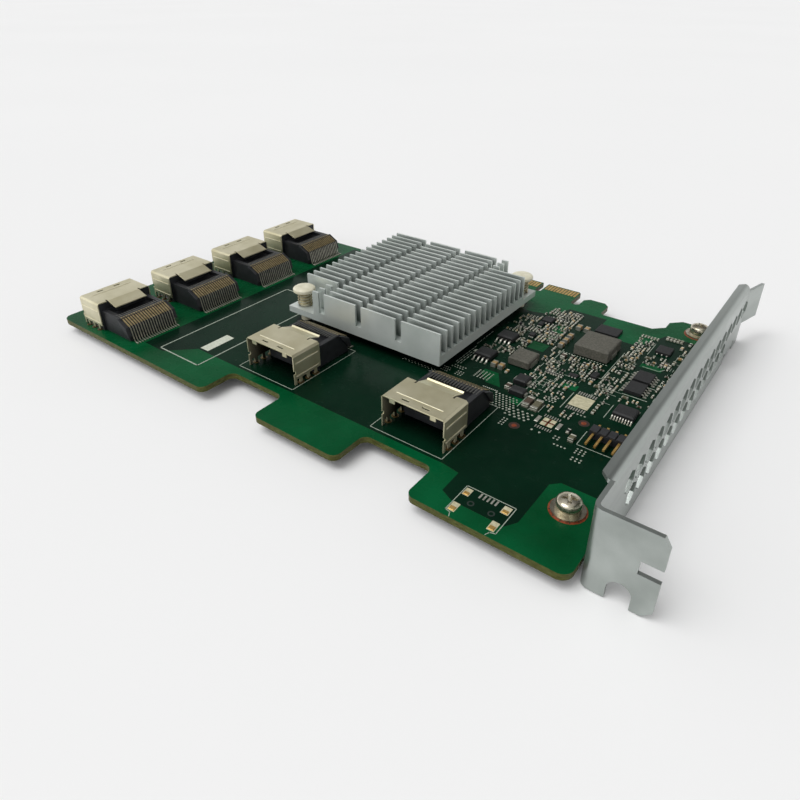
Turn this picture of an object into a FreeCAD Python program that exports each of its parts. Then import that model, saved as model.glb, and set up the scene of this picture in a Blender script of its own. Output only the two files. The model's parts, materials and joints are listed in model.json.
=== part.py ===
import FreeCAD, Part
import math
import os
import types

import Sketcher

# Expansion card with six mini-SAS ports, lying component side up.
# Origin: middle of the key notch in the card edge, at the tips of the edge
# contacts, on the underside of the board. +X points to the slot bracket,
# +Y out of the card edge and +Z up, away from the component side.
# All sizes are in millimetres.
SIZES = {
    # Circuit board
    "board_thick": 1.57,
    "board_length": 164.3,
    "board_right": 58.2,
    "board_depth": 111.15,
    "board_corner": 2.5,
    "rear_setback": 12.8,
    # Card edge
    "key_width": 1.9,
    "key_depth": 7.2,
    "short_tongue": 11.65,
    "long_tongue": 38.65,
    "tongue_corner": 0.8,
    "edge_contact_count_short": 11,
    "edge_contact_count_long": 38,
    "edge_contact_pitch": 1.0,
    "edge_contact_width": 0.7,
    "edge_contact_length": 4.0,
    "edge_contact_margin": 0.5,
    "edge_contact_thick": 0.05,
    # Outline of the board between the card edge and the bracket
    "hook_gap": 2.8,
    "hook_gap_depth": 9.4,
    "hook_width": 7.9,
    "hook_setback": 3.2,
    "hook_corner": 1.5,
    "recess_width": 18.9,
    "recess_setback": 11.2,
    "rear_step_setback": 1.4,
    "rear_step_corner": 3.0,
    # Ports: places on the board
    "port_left_x": -30.96,
    "port_right_x": 13.87,
    "port_front_inset": 15.25,
    "side_port_inset": 8.4,
    "side_port_first": 11.05,
    "side_port_pitch": 24.0,
    "port_notch_width": 18.8,
    "port_notch_depth": 10.05,
    "port_notch_corner": 2.0,
    # Port shell
    "shell_width": 17.05,
    "shell_height": 8.49,
    "shell_depth": 9.4,
    "shell_sheet": 0.3,
    "shell_bevel": 0.5,
    "shell_foot": 1.5,
    "shell_leg": 0.8,
    "tail_count": 3,
    "tail_first": 1.75,
    "tail_pitch": 2.7,
    "tail_width": 0.9,
    "tail_out": 0.65,
    "tail_fit": 0.12,
    "top_slot_spread": 5.52,
    "top_slot_width": 2.05,
    "top_slot_length": 0.6,
    "top_slot_inset": 1.1,
    "mouth_tab_spread": 11.0,
    "mouth_tab_width": 1.5,
    "mouth_tab_drop": 1.25,
    "side_notch_low": 3.1,
    "side_notch_height": 0.9,
    "side_notch_depth": 0.55,
    "flap_width": 10.1,
    "flap_relief": 0.45,
    "flap_relief_depth": 1.0,
    "flap_reach": 3.4,
    "flap_drop": 1.2,
    "flap_curl": 0.5,
    "flap_curl_rise": 0.3,
    # Port housing and contacts
    "housing_fit": 0.1,
    "housing_plate": 1.8,
    "housing_width": 14.8,
    "housing_top": 6.2,
    "housing_flat": 9.2,
    "housing_slope_run": 2.8,
    "housing_end_height": 1.6,
    "hollow_width": 12.0,
    "hollow_depth": 1.2,
    "hollow_wall": 0.6,
    "hollow_ridge": 1.6,
    "nose_width": 11.6,
    "nose_reach": 2.4,
    "nose_low": 1.4,
    "nose_height": 5.2,
    "card_slot_width": 10.4,
    "card_slot_height": 1.2,
    "card_slot_depth": 3.2,
    "port_contact_count": 18,
    "port_contact_pitch": 0.8,
    "port_contact_width": 0.36,
    "port_contact_thick": 0.18,
    "port_contact_foot": 1.8,
    # Slot bracket
    "bracket_gap": 0.54,
    "bracket_sheet": 0.86,
    "bracket_drop": 2.55,
    "bracket_width": 18.42,
    "bracket_length": 120.0,
    "tab_level": 106.72,
    "tab_reach": 12.1,
    "tab_bend": 0.9,
    "tab_corner_width": 1.2,
    "tab_corner_height": 1.9,
    "tab_foot_corner": 1.8,
    "align_notch_low": 8.8,
    "align_notch_height": 2.9,
    "align_notch_depth": 3.8,
    "tab_slot_inset": 6.0,
    "tab_slot_width": 4.42,
    "tab_slot_height": 4.85,
    "lip_reach": 2.9,
    "lip_bend": 0.8,
    "lip_start": 99.5,
    "lip_length": 102.4,
    "lip_corner": 1.5,
    "ear_bend": 0.4,
    "ear_reach": 11.6,
    "ear_width": 9.0,
    "ear_corner": 1.5,
    "ear_relief": 0.8,
    "face_end": 4.2,
    "tongue_low": 5.9,
    "tongue_width": 10.2,
    "tongue_bend_out": 2.2,
    "vent_first": 89.0,
    "vent_pitch": 5.72,
    "vent_flat": 4.8,
    "vent_low": 6.0,
    "vent_count_upper": 17,
    "vent_count_lower": 13,
    # Screws and washers
    "screw_inset": 7.1,
    "screw_front": 95.8,
    "screw_rear": 7.0,
    "screw_dia": 3.0,
    "screw_hole": 3.6,
    "screw_fit": 0.02,
    "screw_head_dia": 5.0,
    "screw_head_height": 1.9,
    "screw_tip": 0.9,
    "flat_washer_dia": 7.0,
    "flat_washer_thick": 0.5,
    "lock_washer_dia": 5.3,
    "lock_washer_thick": 0.8,
    "lock_washer_split": 0.6,
    "washer_bore": 3.2,
    # Heatsink, with the chip and the pad under it
    "heatsink_left": -50.05,
    "heatsink_front": -70.4,
    "heatsink_width": 54.0,
    "heatsink_depth": 53.5,
    "heatsink_gap": 2.8,
    "heatsink_base": 2.94,
    "fin_height": 6.3,
    "fin_count": 20,
    "fin_thick": 0.6,
    "cross_cut_count": 3,
    "cross_cut_pitch": 13.7,
    "cross_cut_width": 2.05,
    "corner_clear_length": 10.1,
    "corner_clear_rows": 3,
    "corner_clear_drop": 1.1,
    "chip_side": 31.0,
    "chip_substrate": 1.2,
    "chip_lid_side": 25.0,
    "chip_lid": 1.0,
    # Push pins and their springs
    "pin_inset": 3.4,
    "pin_shaft_dia": 3.0,
    "pin_fit": 0.2,
    "pin_head_dia": 6.6,
    "pin_head_height": 1.5,
    "pin_barb_width": 4.0,
    "pin_barb_length": 2.4,
    "pin_barb_rim": 0.5,
    "pin_barb_thick": 1.6,
    "pin_tip_width": 1.8,
    "spring_height": 4.5,
    "spring_wire": 0.5,
    "spring_turns": 3,
    "spring_steps": 8,
    "spring_fit": 0.2,
    # Power inductors
    "large_inductor_x": 31.6,
    "large_inductor_y": -34.0,
    "large_inductor_width": 9.5,
    "large_inductor_depth": 9.8,
    "large_inductor_height": 3.3,
    "small_inductor_x": 18.1,
    "small_inductor_y": -51.0,
    "small_inductor_width": 6.0,
    "small_inductor_depth": 6.4,
    "small_inductor_height": 2.3,
    "inductor_chamfer": 0.3,
    "terminal_thick": 0.2,
    "terminal_share": 3.6,
    "terminal_foot": 0.7,
    "terminal_rise": 1.3,
    # Chip packages
    "package_standoff": 0.12,
    "package_chamfer": 0.35,
    "transistor_x": 8.3,
    "transistor_rear_y": -41.7,
    "transistor_front_y": -54.0,
    "transistor_width": 4.9,
    "transistor_depth": 4.1,
    "small_package_height": 1.45,
    "controller_x": 48.7,
    "controller_y": -58.7,
    "controller_width": 5.0,
    "controller_depth": 4.4,
    "regulator_x": 30.0,
    "regulator_y": -21.4,
    "regulator_width": 6.5,
    "regulator_depth": 5.0,
    "regulator_height": 0.9,
    "memory_x": 46.85,
    "memory_rear_y": -40.4,
    "memory_front_y": -46.6,
    "memory_width": 4.2,
    "memory_depth": 5.2,
    "memory_height": 1.0,
    "lead_thick": 0.2,
    "lead_foot": 0.45,
    "lead_level": 0.65,
    "transistor_leads": 4,
    "transistor_lead_pitch": 1.27,
    "transistor_lead_width": 0.42,
    "transistor_lead_reach": 1.9,
    "controller_leads": 8,
    "controller_lead_pitch": 0.65,
    "controller_lead_width": 0.26,
    "controller_lead_reach": 1.0,
    # Right-angle pin header
    "header_x": 49.0,
    "header_y": -70.4,
    "header_pins": 4,
    "header_pitch": 2.0,
    "header_depth": 2.6,
    "header_height": 2.1,
    "header_groove": 0.35,
    "header_groove_depth": 0.4,
    "header_pin_side": 0.5,
    "header_pin_level": 1.2,
    "header_pin_reach": 4.2,
    "header_pin_back": 1.2,
    "header_pin_tail": 1.4,
    "header_pin_fit": 0.15,
    # Chip capacitors, a diode and the dark supply capacitor
    "cap_width": 1.25,
    "cap_length": 2.0,
    "cap_height": 1.1,
    "cap_terminal": 0.4,
    "cap_terminal_lap": 0.06,
    "supply_row_x": 12.8,
    "supply_row_y": -57.2,
    "supply_row_pitch": 2.05,
    "supply_row_count": 2,
    "output_row_x": 22.5,
    "output_row_y": -37.0,
    "output_row_pitch": 3.0,
    "output_row_count": 3,
    "input_row_x": 22.3,
    "input_row_y": -24.4,
    "input_row_pitch": 2.4,
    "input_row_count": 2,
    "diode_x": 22.6,
    "diode_y": -60.2,
    "diode_width": 4.3,
    "diode_depth": 3.6,
    "diode_height": 1.6,
    "block_x": 24.1,
    "block_y": -65.4,
    "block_width": 4.8,
    "block_depth": 2.6,
    "block_height": 1.5,
    "end_cap": 0.5,
    # Shared
    "overlap": 0.05,
}

doc = FreeCAD.newDocument("expander_card")
sheet = doc.addObject("Spreadsheet::Sheet", "sizes")
for row, (alias, value) in enumerate(SIZES.items(), start=1):
    sheet.set(f"A{row}", alias)
    sheet.set(f"B{row}", str(value))
    sheet.setAlias(f"B{row}", alias)
doc.recompute()


class Size:
    """A number together with the formula that ties it to the sheet."""

    def __init__(self, value, formula):
        self.value = float(value)
        self.formula = formula

    def joined(self, sign, other, value):
        return Size(value, f"({self.formula} {sign} {other.formula})")

    def __add__(self, other):
        other = as_size(other)
        return self.joined("+", other, self.value + other.value)

    def __sub__(self, other):
        other = as_size(other)
        return self.joined("-", other, self.value - other.value)

    def __mul__(self, other):
        other = as_size(other)
        return self.joined("*", other, self.value * other.value)

    def __truediv__(self, other):
        other = as_size(other)
        return self.joined("/", other, self.value / other.value)

    def __radd__(self, other):
        return as_size(other) + self

    def __rsub__(self, other):
        return as_size(other) - self

    def __rmul__(self, other):
        return as_size(other) * self

    def __neg__(self):
        return as_size(0) - self


def as_size(number):
    return number if isinstance(number, Size) else Size(number, f"({number})")


dim = types.SimpleNamespace(**{alias: Size(sheet.get(alias), f"sizes.{alias}") for alias in SIZES})
subparts = []

# Which way each origin plane faces, as the sign of its world axis
PLANE_FACING = {"XY_Plane": 1, "XZ_Plane": -1, "YZ_Plane": 1}

# How close two places are when they count as the same
NEAR = 1e-4


def bind(thing, path, size):
    thing.setExpression(path, as_size(size).formula)


def origin_feature(body, role):
    return next(feature for feature in body.Origin.OriginFeatures if feature.Role == role)


def new_body(label, place=(0, 0, 0), angle=0):
    """A sub-part, at a place in the card's frame and turned about the vertical."""
    body = doc.addObject("PartDesign::Body", label)
    body.Label = label
    body.Placement = FreeCAD.Placement(FreeCAD.Vector(), FreeCAD.Rotation(FreeCAD.Vector(0, 0, 1), angle))
    for axis, size in zip("xyz", place):
        bind(body, f"Placement.Base.{axis}", size)
    subparts.append(body)
    return body


def copy_body(master, label, place, angle):
    """A sub-part of the same form as another, at a place of its own."""
    body = new_body(label, place, angle)
    form = doc.addObject("PartDesign::FeatureBase", "Form")
    body.Group = [form]
    form.BaseFeature = master
    body.Tip = form


def add_feature(body, kind):
    """A feature whose faces are merged later, on the body's last feature only."""
    feature = body.newObject(f"PartDesign::{kind}", kind)
    feature.Refine = False
    return feature


def new_sketch(body, plane, level):
    """A sketch on one of the body's origin planes, moved to a level on its world axis."""
    sketch = body.newObject("Sketcher::SketchObject", "Sketch")
    sketch.AttachmentSupport = [(origin_feature(body, plane), "")]
    sketch.MapMode = "FlatFace"
    bind(sketch, ".AttachmentOffset.Base.z", level * PLANE_FACING[plane])
    return sketch


def heading(start, end):
    """The direction from one corner to the next, as whole numbers along the two axes."""
    across = end[0].value - start[0].value
    along = end[1].value - start[1].value
    length = math.hypot(across, along)
    return round(across / length), round(along / length)


def hold_point(sketch, element, end, point):
    """Tie one end of a sketch element to a point by its distances from the origin."""
    for kind, size in zip(("DistanceX", "DistanceY"), point):
        index = sketch.addConstraint(Sketcher.Constraint(kind, -1, 1, element, end, size.value))
        bind(sketch, f"Constraints[{index}]", size)


def hold_size(sketch, kind, element, size):
    """Set a sketch element's radius or diameter."""
    index = sketch.addConstraint(Sketcher.Constraint(kind, element, size.value))
    bind(sketch, f"Constraints[{index}]", size)


def draw_outline(sketch, corners):
    """Draw a closed outline, anticlockwise; a corner's third value is its radius.

    Sides that meet in a round corner lie along the axes.
    """
    corners = [tuple(as_size(value) for value in corner) for corner in corners]
    stations = []
    arcs = {}
    for index, corner in enumerate(corners):
        point = corner[:2]
        if len(corner) == 2:
            stations.append((point, point))
            continue
        radius = corner[2]
        arriving = heading(corners[index - 1], point)
        leaving = heading(point, corners[(index + 1) % len(corners)])
        first = tuple(value - radius * step for value, step in zip(point, arriving))
        last = tuple(value + radius * step for value, step in zip(point, leaving))
        middle = tuple(value + radius * step for value, step in zip(first, leaving))
        left_turn = arriving[0] * leaving[1] - arriving[1] * leaving[0] > 0
        stations.append((first, last))
        arcs[index] = (middle, radius, left_turn)
    lines = []
    for index, station in enumerate(stations):
        start = station[1]
        end = stations[(index + 1) % len(stations)][0]
        lines.append(sketch.addGeometry(Part.LineSegment(vector(start), vector(end))))
    for index, (first, last) in enumerate(stations):
        before = lines[index - 1]
        after = lines[index]
        if first is last:
            hold_point(sketch, after, 1, first)
            sketch.addConstraint(Sketcher.Constraint("Coincident", before, 2, after, 1))
            continue
        middle, radius, left_turn = arcs[index]
        circle = Part.Circle(vector(middle), FreeCAD.Vector(0, 0, 1), radius.value)
        ends = (first, last) if left_turn else (last, first)
        turns = [math.atan2(y.value - middle[1].value, x.value - middle[0].value) for x, y in ends]
        arc = sketch.addGeometry(Part.ArcOfCircle(circle, turns[0], turns[1]))
        arc_first, arc_last = (1, 2) if left_turn else (2, 1)
        hold_point(sketch, arc, arc_first, first)
        hold_point(sketch, arc, arc_last, last)
        sketch.addConstraint(Sketcher.Constraint("Coincident", before, 2, arc, arc_first))
        sketch.addConstraint(Sketcher.Constraint("Coincident", after, 1, arc, arc_last))
        hold_size(sketch, "Radius", arc, radius)


def vector(point):
    return FreeCAD.Vector(point[0].value, point[1].value, 0)


def draw_circle(sketch, middle, diameter):
    middle = tuple(as_size(value) for value in middle)
    circle = Part.Circle(vector(middle), FreeCAD.Vector(0, 0, 1), diameter.value / 2)
    element = sketch.addGeometry(circle)
    hold_point(sketch, element, 3, middle)
    hold_size(sketch, "Diameter", element, diameter)


def extrude(body, plane, start, end, outlines=(), circles=(), cut=False):
    """Pad or cut outlines between two levels on the plane's world axis."""
    start = as_size(start)
    end = as_size(end)
    facing = PLANE_FACING[plane]
    sketch = new_sketch(body, plane, start if facing > 0 else end)
    for corners in outlines:
        draw_outline(sketch, corners)
    for middle, diameter in circles:
        draw_circle(sketch, middle, diameter)
    feature = add_feature(body, "Pocket" if cut else "Pad")
    feature.Profile = sketch
    feature.Reversed = cut
    bind(feature, "Length", end - start)
    return feature


def revolve(body, corners):
    """Turn an outline of radii and heights about the body's own upright axis."""
    sketch = new_sketch(body, "XZ_Plane", as_size(0))
    draw_outline(sketch, corners)
    feature = add_feature(body, "Revolution")
    feature.Profile = sketch
    feature.ReferenceAxis = (origin_feature(body, "Z_Axis"), [""])
    return feature


def repeat(body, feature, axis, count, pitch):
    """Repeat a feature in a straight row."""
    pattern = add_feature(body, "LinearPattern")
    pattern.Originals = [feature]
    pattern.Direction = (origin_feature(body, axis), [""])
    pattern.Mode = "Spacing"
    bind(pattern, "Offset", pitch)
    bind(pattern, "Occurrences", count)
    body.Tip = pattern
    return pattern


def dress_edges(body, kind, size, direction, places):
    """Round or bevel the straight edges that run along an axis at the given places."""
    doc.recompute()
    base = body.Tip
    axes = [axis for axis in "xyz" if axis != direction]
    spots = [[as_size(value).value for value in place] for place in places]
    names = []
    for number, edge in enumerate(base.Shape.Edges, start=1):
        ends = [[getattr(vertex.Point, axis) for axis in axes] for vertex in edge.Vertexes]
        for spot in spots:
            if all(math.dist(end, spot) < NEAR for end in ends):
                names.append(f"Edge{number}")
    feature = add_feature(body, kind)
    feature.Base = (base, names)
    bind(feature, "Radius" if kind == "Fillet" else "Size", size)


def rectangle(left, front, right, rear):
    return [(left, front), (right, front), (right, rear), (left, rear)]


def centred(x, y, width, depth):
    return rectangle(x - width / 2, y - depth / 2, x + width / 2, y + depth / 2)


# Levels and places that several pieces share
board_top = dim.board_thick
board_left = dim.board_right - dim.board_length
board_front = -dim.board_depth
port_y = board_front + dim.port_front_inset
heatsink_low = board_top + dim.heatsink_gap
base_top = heatsink_low + dim.heatsink_base
fin_top = base_top + dim.fin_height
pin_seat = base_top - dim.corner_clear_drop
heatsink_right = dim.heatsink_left + dim.heatsink_width
heatsink_rear = dim.heatsink_front + dim.heatsink_depth
heatsink_x = dim.heatsink_left + dim.heatsink_width / 2
heatsink_y = dim.heatsink_front + dim.heatsink_depth / 2
screw_x = dim.board_right - dim.screw_inset
screw_places = [(screw_x, -dim.screw_front), (screw_x, -dim.screw_rear)]
screw_pitch = dim.screw_front - dim.screw_rear
pin_places = {
    "front": (dim.heatsink_left + dim.pin_inset, dim.heatsink_front + dim.pin_inset),
    "rear": (heatsink_right - dim.pin_inset, heatsink_rear - dim.pin_inset),
}
header_left = dim.header_x - dim.header_pitch * (dim.header_pins - 1) / 2
header_rear = dim.header_y + dim.header_depth / 2
header_front = dim.header_y - dim.header_depth / 2
header_tail_y = header_rear + dim.header_pin_back


class Port:
    """A port's place: the middle of its shell's mouth, on top of the board."""

    def __init__(self, name, x, y, sideways):
        self.name = name
        self.x = x
        self.y = y
        self.sideways = sideways
        self.angle = -90 if sideways else 0

    def on_board(self, x, y):
        """A point of the port's own frame, in the card's frame."""
        if self.sideways:
            return self.x + y, self.y - x
        return self.x + x, self.y + y


ports = [
    Port("front_left_port", dim.port_left_x, port_y, False),
    Port("front_right_port", dim.port_right_x, port_y, False),
]
for index, name in enumerate(("first", "second", "third", "fourth")):
    side_port_y = board_front + dim.side_port_first + dim.side_port_pitch * index
    ports.append(Port(f"{name}_side_port", board_left + dim.side_port_inset, side_port_y, True))


def make_board():
    body = new_body("circuit_board")
    notch_half = dim.port_notch_width / 2
    notch_rear = board_front + dim.port_notch_depth
    key_half = dim.key_width / 2
    short_end = key_half + dim.short_tongue
    hook_left = short_end + dim.hook_gap
    hook_right = hook_left + dim.hook_width
    step_left = hook_right + dim.recess_width
    notches = []
    for x in (dim.port_left_x, dim.port_right_x):
        notches += [
            (x - notch_half, board_front),
            (x - notch_half, notch_rear),
            (x + notch_half, notch_rear),
            (x + notch_half, board_front),
        ]
    board_corners = [
        (board_left, board_front),
        (dim.board_right, board_front),
        (board_left, -dim.rear_setback),
    ]
    step = [(step_left, -dim.rear_step_setback), (step_left, -dim.recess_setback)]
    hook = [(hook_right, -dim.hook_setback), (hook_left, -dim.hook_setback)]
    small_corners = [
        (dim.board_right, -dim.rear_step_setback),
        (hook_right, -dim.recess_setback),
        (hook_left, -dim.hook_gap_depth),
        (short_end, -dim.hook_gap_depth),
        (short_end, as_size(0)),
        (key_half, -dim.key_depth),
        (-key_half, -dim.key_depth),
        (-key_half - dim.long_tongue, as_size(0)),
        (-key_half - dim.long_tongue, -dim.rear_setback),
    ]
    outline = board_corners[:1] + notches + board_corners[1:2] + small_corners[:1] + step
    outline += small_corners[1:2] + hook + small_corners[2:5] + [(key_half, 0)] + small_corners[5:7]
    outline += [(-key_half, 0)] + small_corners[7:] + board_corners[2:]
    extrude(body, "XY_Plane", 0, board_top, [outline])
    dress_edges(body, "Fillet", dim.board_corner, "z", board_corners)
    dress_edges(body, "Fillet", dim.port_notch_corner, "z", notches)
    dress_edges(body, "Chamfer", dim.rear_step_corner, "z", step)
    dress_edges(body, "Chamfer", dim.hook_corner, "z", hook)
    dress_edges(body, "Chamfer", dim.tongue_corner, "z", small_corners)
    holes = [(place, dim.screw_hole) for place in screw_places]
    holes += [(place, dim.pin_shaft_dia + 2 * dim.pin_fit) for place in pin_places.values()]
    extrude(body, "XY_Plane", 0, board_top, circles=holes, cut=True)
    for port in ports:
        slots = tail_slots(port)
        cut = extrude(body, "XY_Plane", 0, board_top, slots, cut=True)
        repeat(body, cut, "X_Axis" if port.sideways else "Y_Axis", dim.tail_count, dim.tail_pitch)
    pin_hole = dim.header_pin_side + 2 * dim.header_pin_fit
    slot = centred(header_left, header_tail_y, pin_hole, pin_hole)
    cut = extrude(body, "XY_Plane", 0, board_top, [slot], cut=True)
    repeat(body, cut, "X_Axis", dim.header_pins, dim.header_pitch)


def tail_slots(port):
    """The board's slots for the first solder tail on both sides of a port's shell."""
    across = dim.shell_sheet + 2 * dim.tail_fit
    along = dim.tail_width + 2 * dim.tail_fit
    width, depth = (along, across) if port.sideways else (across, along)
    side = dim.shell_width / 2 - dim.shell_sheet / 2
    y = dim.tail_first + dim.tail_width / 2
    return [centred(*port.on_board(x, y), width, depth) for x in (-side, side)]


def make_edge_contacts():
    body = new_body("edge_contacts")
    short_span = dim.edge_contact_pitch * (dim.edge_contact_count_short - 1)
    short_start = dim.key_width / 2 + (dim.short_tongue - short_span) / 2
    long_span = dim.edge_contact_pitch * (dim.edge_contact_count_long - 1)
    long_start = -dim.key_width / 2 - (dim.long_tongue - long_span) / 2 - long_span
    rows = [(short_start, dim.edge_contact_count_short), (long_start, dim.edge_contact_count_long)]
    rear = -dim.edge_contact_margin
    front = rear - dim.edge_contact_length
    half = dim.edge_contact_width / 2
    for low in (-dim.edge_contact_thick, board_top):
        for x, count in rows:
            outline = rectangle(x - half, front, x + half, rear)
            pad = extrude(body, "XY_Plane", low, low + dim.edge_contact_thick, [outline])
            repeat(body, pad, "X_Axis", count, dim.edge_contact_pitch)


def make_port_shell(body):
    """Formed metal hood, open at its mouth and below."""
    sheet = dim.shell_sheet
    half = dim.shell_width / 2
    top = dim.shell_height
    depth = dim.shell_depth
    foot = dim.shell_foot
    bevel_size = dim.shell_bevel
    hood = [
        (half, foot),
        (half, top - bevel_size),
        (half - bevel_size, top),
        (bevel_size - half, top),
        (-half, top - bevel_size),
        (-half, foot),
        (sheet - half, foot),
        (sheet - half, top - sheet),
        (half - sheet, top - sheet),
        (half - sheet, foot),
    ]
    extrude(body, "XZ_Plane", 0, depth, [hood])

    # Front leg and solder tails below each side wall
    tail_low = -board_top - dim.tail_out
    side = [(0, foot + sheet), (0, 0), (dim.shell_leg, 0), (dim.shell_leg, foot)]
    for number in range(int(dim.tail_count.value)):
        y = dim.tail_first + dim.tail_pitch * number
        side += [(y, foot), (y, tail_low), (y + dim.tail_width, tail_low), (y + dim.tail_width, foot)]
    side += [(depth, foot), (depth, foot + sheet)]
    for left in (-half, half - sheet):
        extrude(body, "YZ_Plane", left, left + sheet, [side])

    # Slots in the roof and the reliefs beside the flap
    slots = []
    reliefs = []
    for sign in (-1, 1):
        x = sign * dim.top_slot_spread / 2
        slot_y = dim.top_slot_inset + dim.top_slot_length / 2
        slots.append(centred(x, slot_y, dim.top_slot_width, dim.top_slot_length))
        x = sign * (dim.flap_width / 2 + dim.flap_relief / 2)
        reliefs.append(centred(x, depth, dim.flap_relief, 2 * dim.flap_relief_depth))
    extrude(body, "XY_Plane", top - 2 * sheet, top + sheet, slots + reliefs, cut=True)

    # Flap that slopes down over the housing and ends in a curled edge
    flap_y = depth + dim.flap_reach
    flap_z = top - dim.flap_drop
    curl_z = flap_z + dim.flap_curl_rise
    flap = [
        (depth - sheet, top - sheet),
        (depth, top - sheet),
        (flap_y, flap_z - sheet),
        (flap_y + dim.flap_curl, curl_z - sheet),
        (flap_y + dim.flap_curl, curl_z),
        (flap_y, flap_z),
        (depth, top),
        (depth - sheet, top),
    ]
    extrude(body, "YZ_Plane", -dim.flap_width / 2, dim.flap_width / 2, [flap])

    # Tabs turned down at the mouth
    tabs = []
    for sign in (-1, 1):
        x = sign * dim.mouth_tab_spread / 2
        half_tab = dim.mouth_tab_width / 2
        tabs.append(rectangle(x - half_tab, top - dim.mouth_tab_drop, x + half_tab, top - sheet / 2))
    extrude(body, "XZ_Plane", 0, sheet, tabs)

    # Notch in the front edge of both side walls
    notch_top = dim.side_notch_low + dim.side_notch_height
    notch = rectangle(-sheet, dim.side_notch_low, dim.side_notch_depth, notch_top)
    extrude(body, "YZ_Plane", -half - sheet, half + sheet, [notch], cut=True)


def housing_path():
    """The housing's upper edge behind the shell, from its flat top to its low end."""
    flat_end = dim.shell_depth + dim.housing_flat
    end = flat_end + dim.housing_slope_run
    return (flat_end, dim.housing_top), (end, dim.housing_end_height), (end, as_size(0))


def make_port_housing(body):
    """Moulding that fills the shell's rear, hollow on top, and slopes down to the contacts' feet."""
    flat_end, slope_end, foot = housing_path()
    depth = dim.shell_depth
    plate_front = depth - dim.housing_plate
    half = dim.housing_width / 2
    block = [(plate_front, 0), foot, slope_end, flat_end, (plate_front, dim.housing_top)]
    extrude(body, "YZ_Plane", -half, half, [block])
    hollow_half = dim.hollow_width / 2
    hollow_low = dim.housing_top - dim.hollow_depth
    hollow_end = flat_end[0] - dim.hollow_ridge
    hollow = rectangle(-hollow_half, depth + dim.hollow_wall, hollow_half, hollow_end)
    extrude(body, "XY_Plane", hollow_low, dim.housing_top + dim.overlap, [hollow], cut=True)

    # Plate that fills the shell's rear
    plate_half = dim.shell_width / 2 - dim.shell_sheet - dim.housing_fit
    plate_top = dim.shell_height - dim.shell_sheet - dim.housing_fit
    plate = rectangle(-plate_half, 0, plate_half, plate_top)
    extrude(body, "XZ_Plane", plate_front, depth, [plate])

    # Nose with the slot for the plug's card
    nose_half = dim.nose_width / 2
    nose_top = dim.nose_low + dim.nose_height
    nose = rectangle(-nose_half, dim.nose_low, nose_half, nose_top)
    nose_front = plate_front - dim.nose_reach
    extrude(body, "XZ_Plane", nose_front, plate_front + dim.overlap, [nose])
    slot_z = dim.nose_low + dim.nose_height / 2
    slot = centred(as_size(0), slot_z, dim.card_slot_width, dim.card_slot_height)
    extrude(body, "XZ_Plane", nose_front, nose_front + dim.card_slot_depth, [slot], cut=True)


def make_port_contacts(body):
    """The row of straight contacts from the housing's upper edge down to the board."""
    thick = dim.port_contact_thick
    flat_end, _, foot = housing_path()
    foot_end = foot[0] + dim.port_contact_foot
    strip = [
        flat_end,
        (foot_end - thick, 0),
        (foot_end, 0),
        (flat_end[0] + thick / 2, flat_end[1] + thick),
    ]
    left = -dim.port_contact_pitch * (dim.port_contact_count - 1) / 2 - dim.port_contact_width / 2
    pad = extrude(body, "YZ_Plane", left, left + dim.port_contact_width, [strip])
    repeat(body, pad, "X_Axis", dim.port_contact_count, dim.port_contact_pitch)


def make_ports():
    """Six ports of one form: the first is drawn, the others are copies of it."""
    makers = {"shell": make_port_shell, "housing": make_port_housing, "contacts": make_port_contacts}
    for kind, make in makers.items():
        master = None
        for port in ports:
            label = f"{port.name}_{kind}"
            place = (port.x, port.y, board_top)
            if master:
                copy_body(master, label, place, port.angle)
            else:
                master = new_body(label, place, port.angle)
                make(master)


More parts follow.
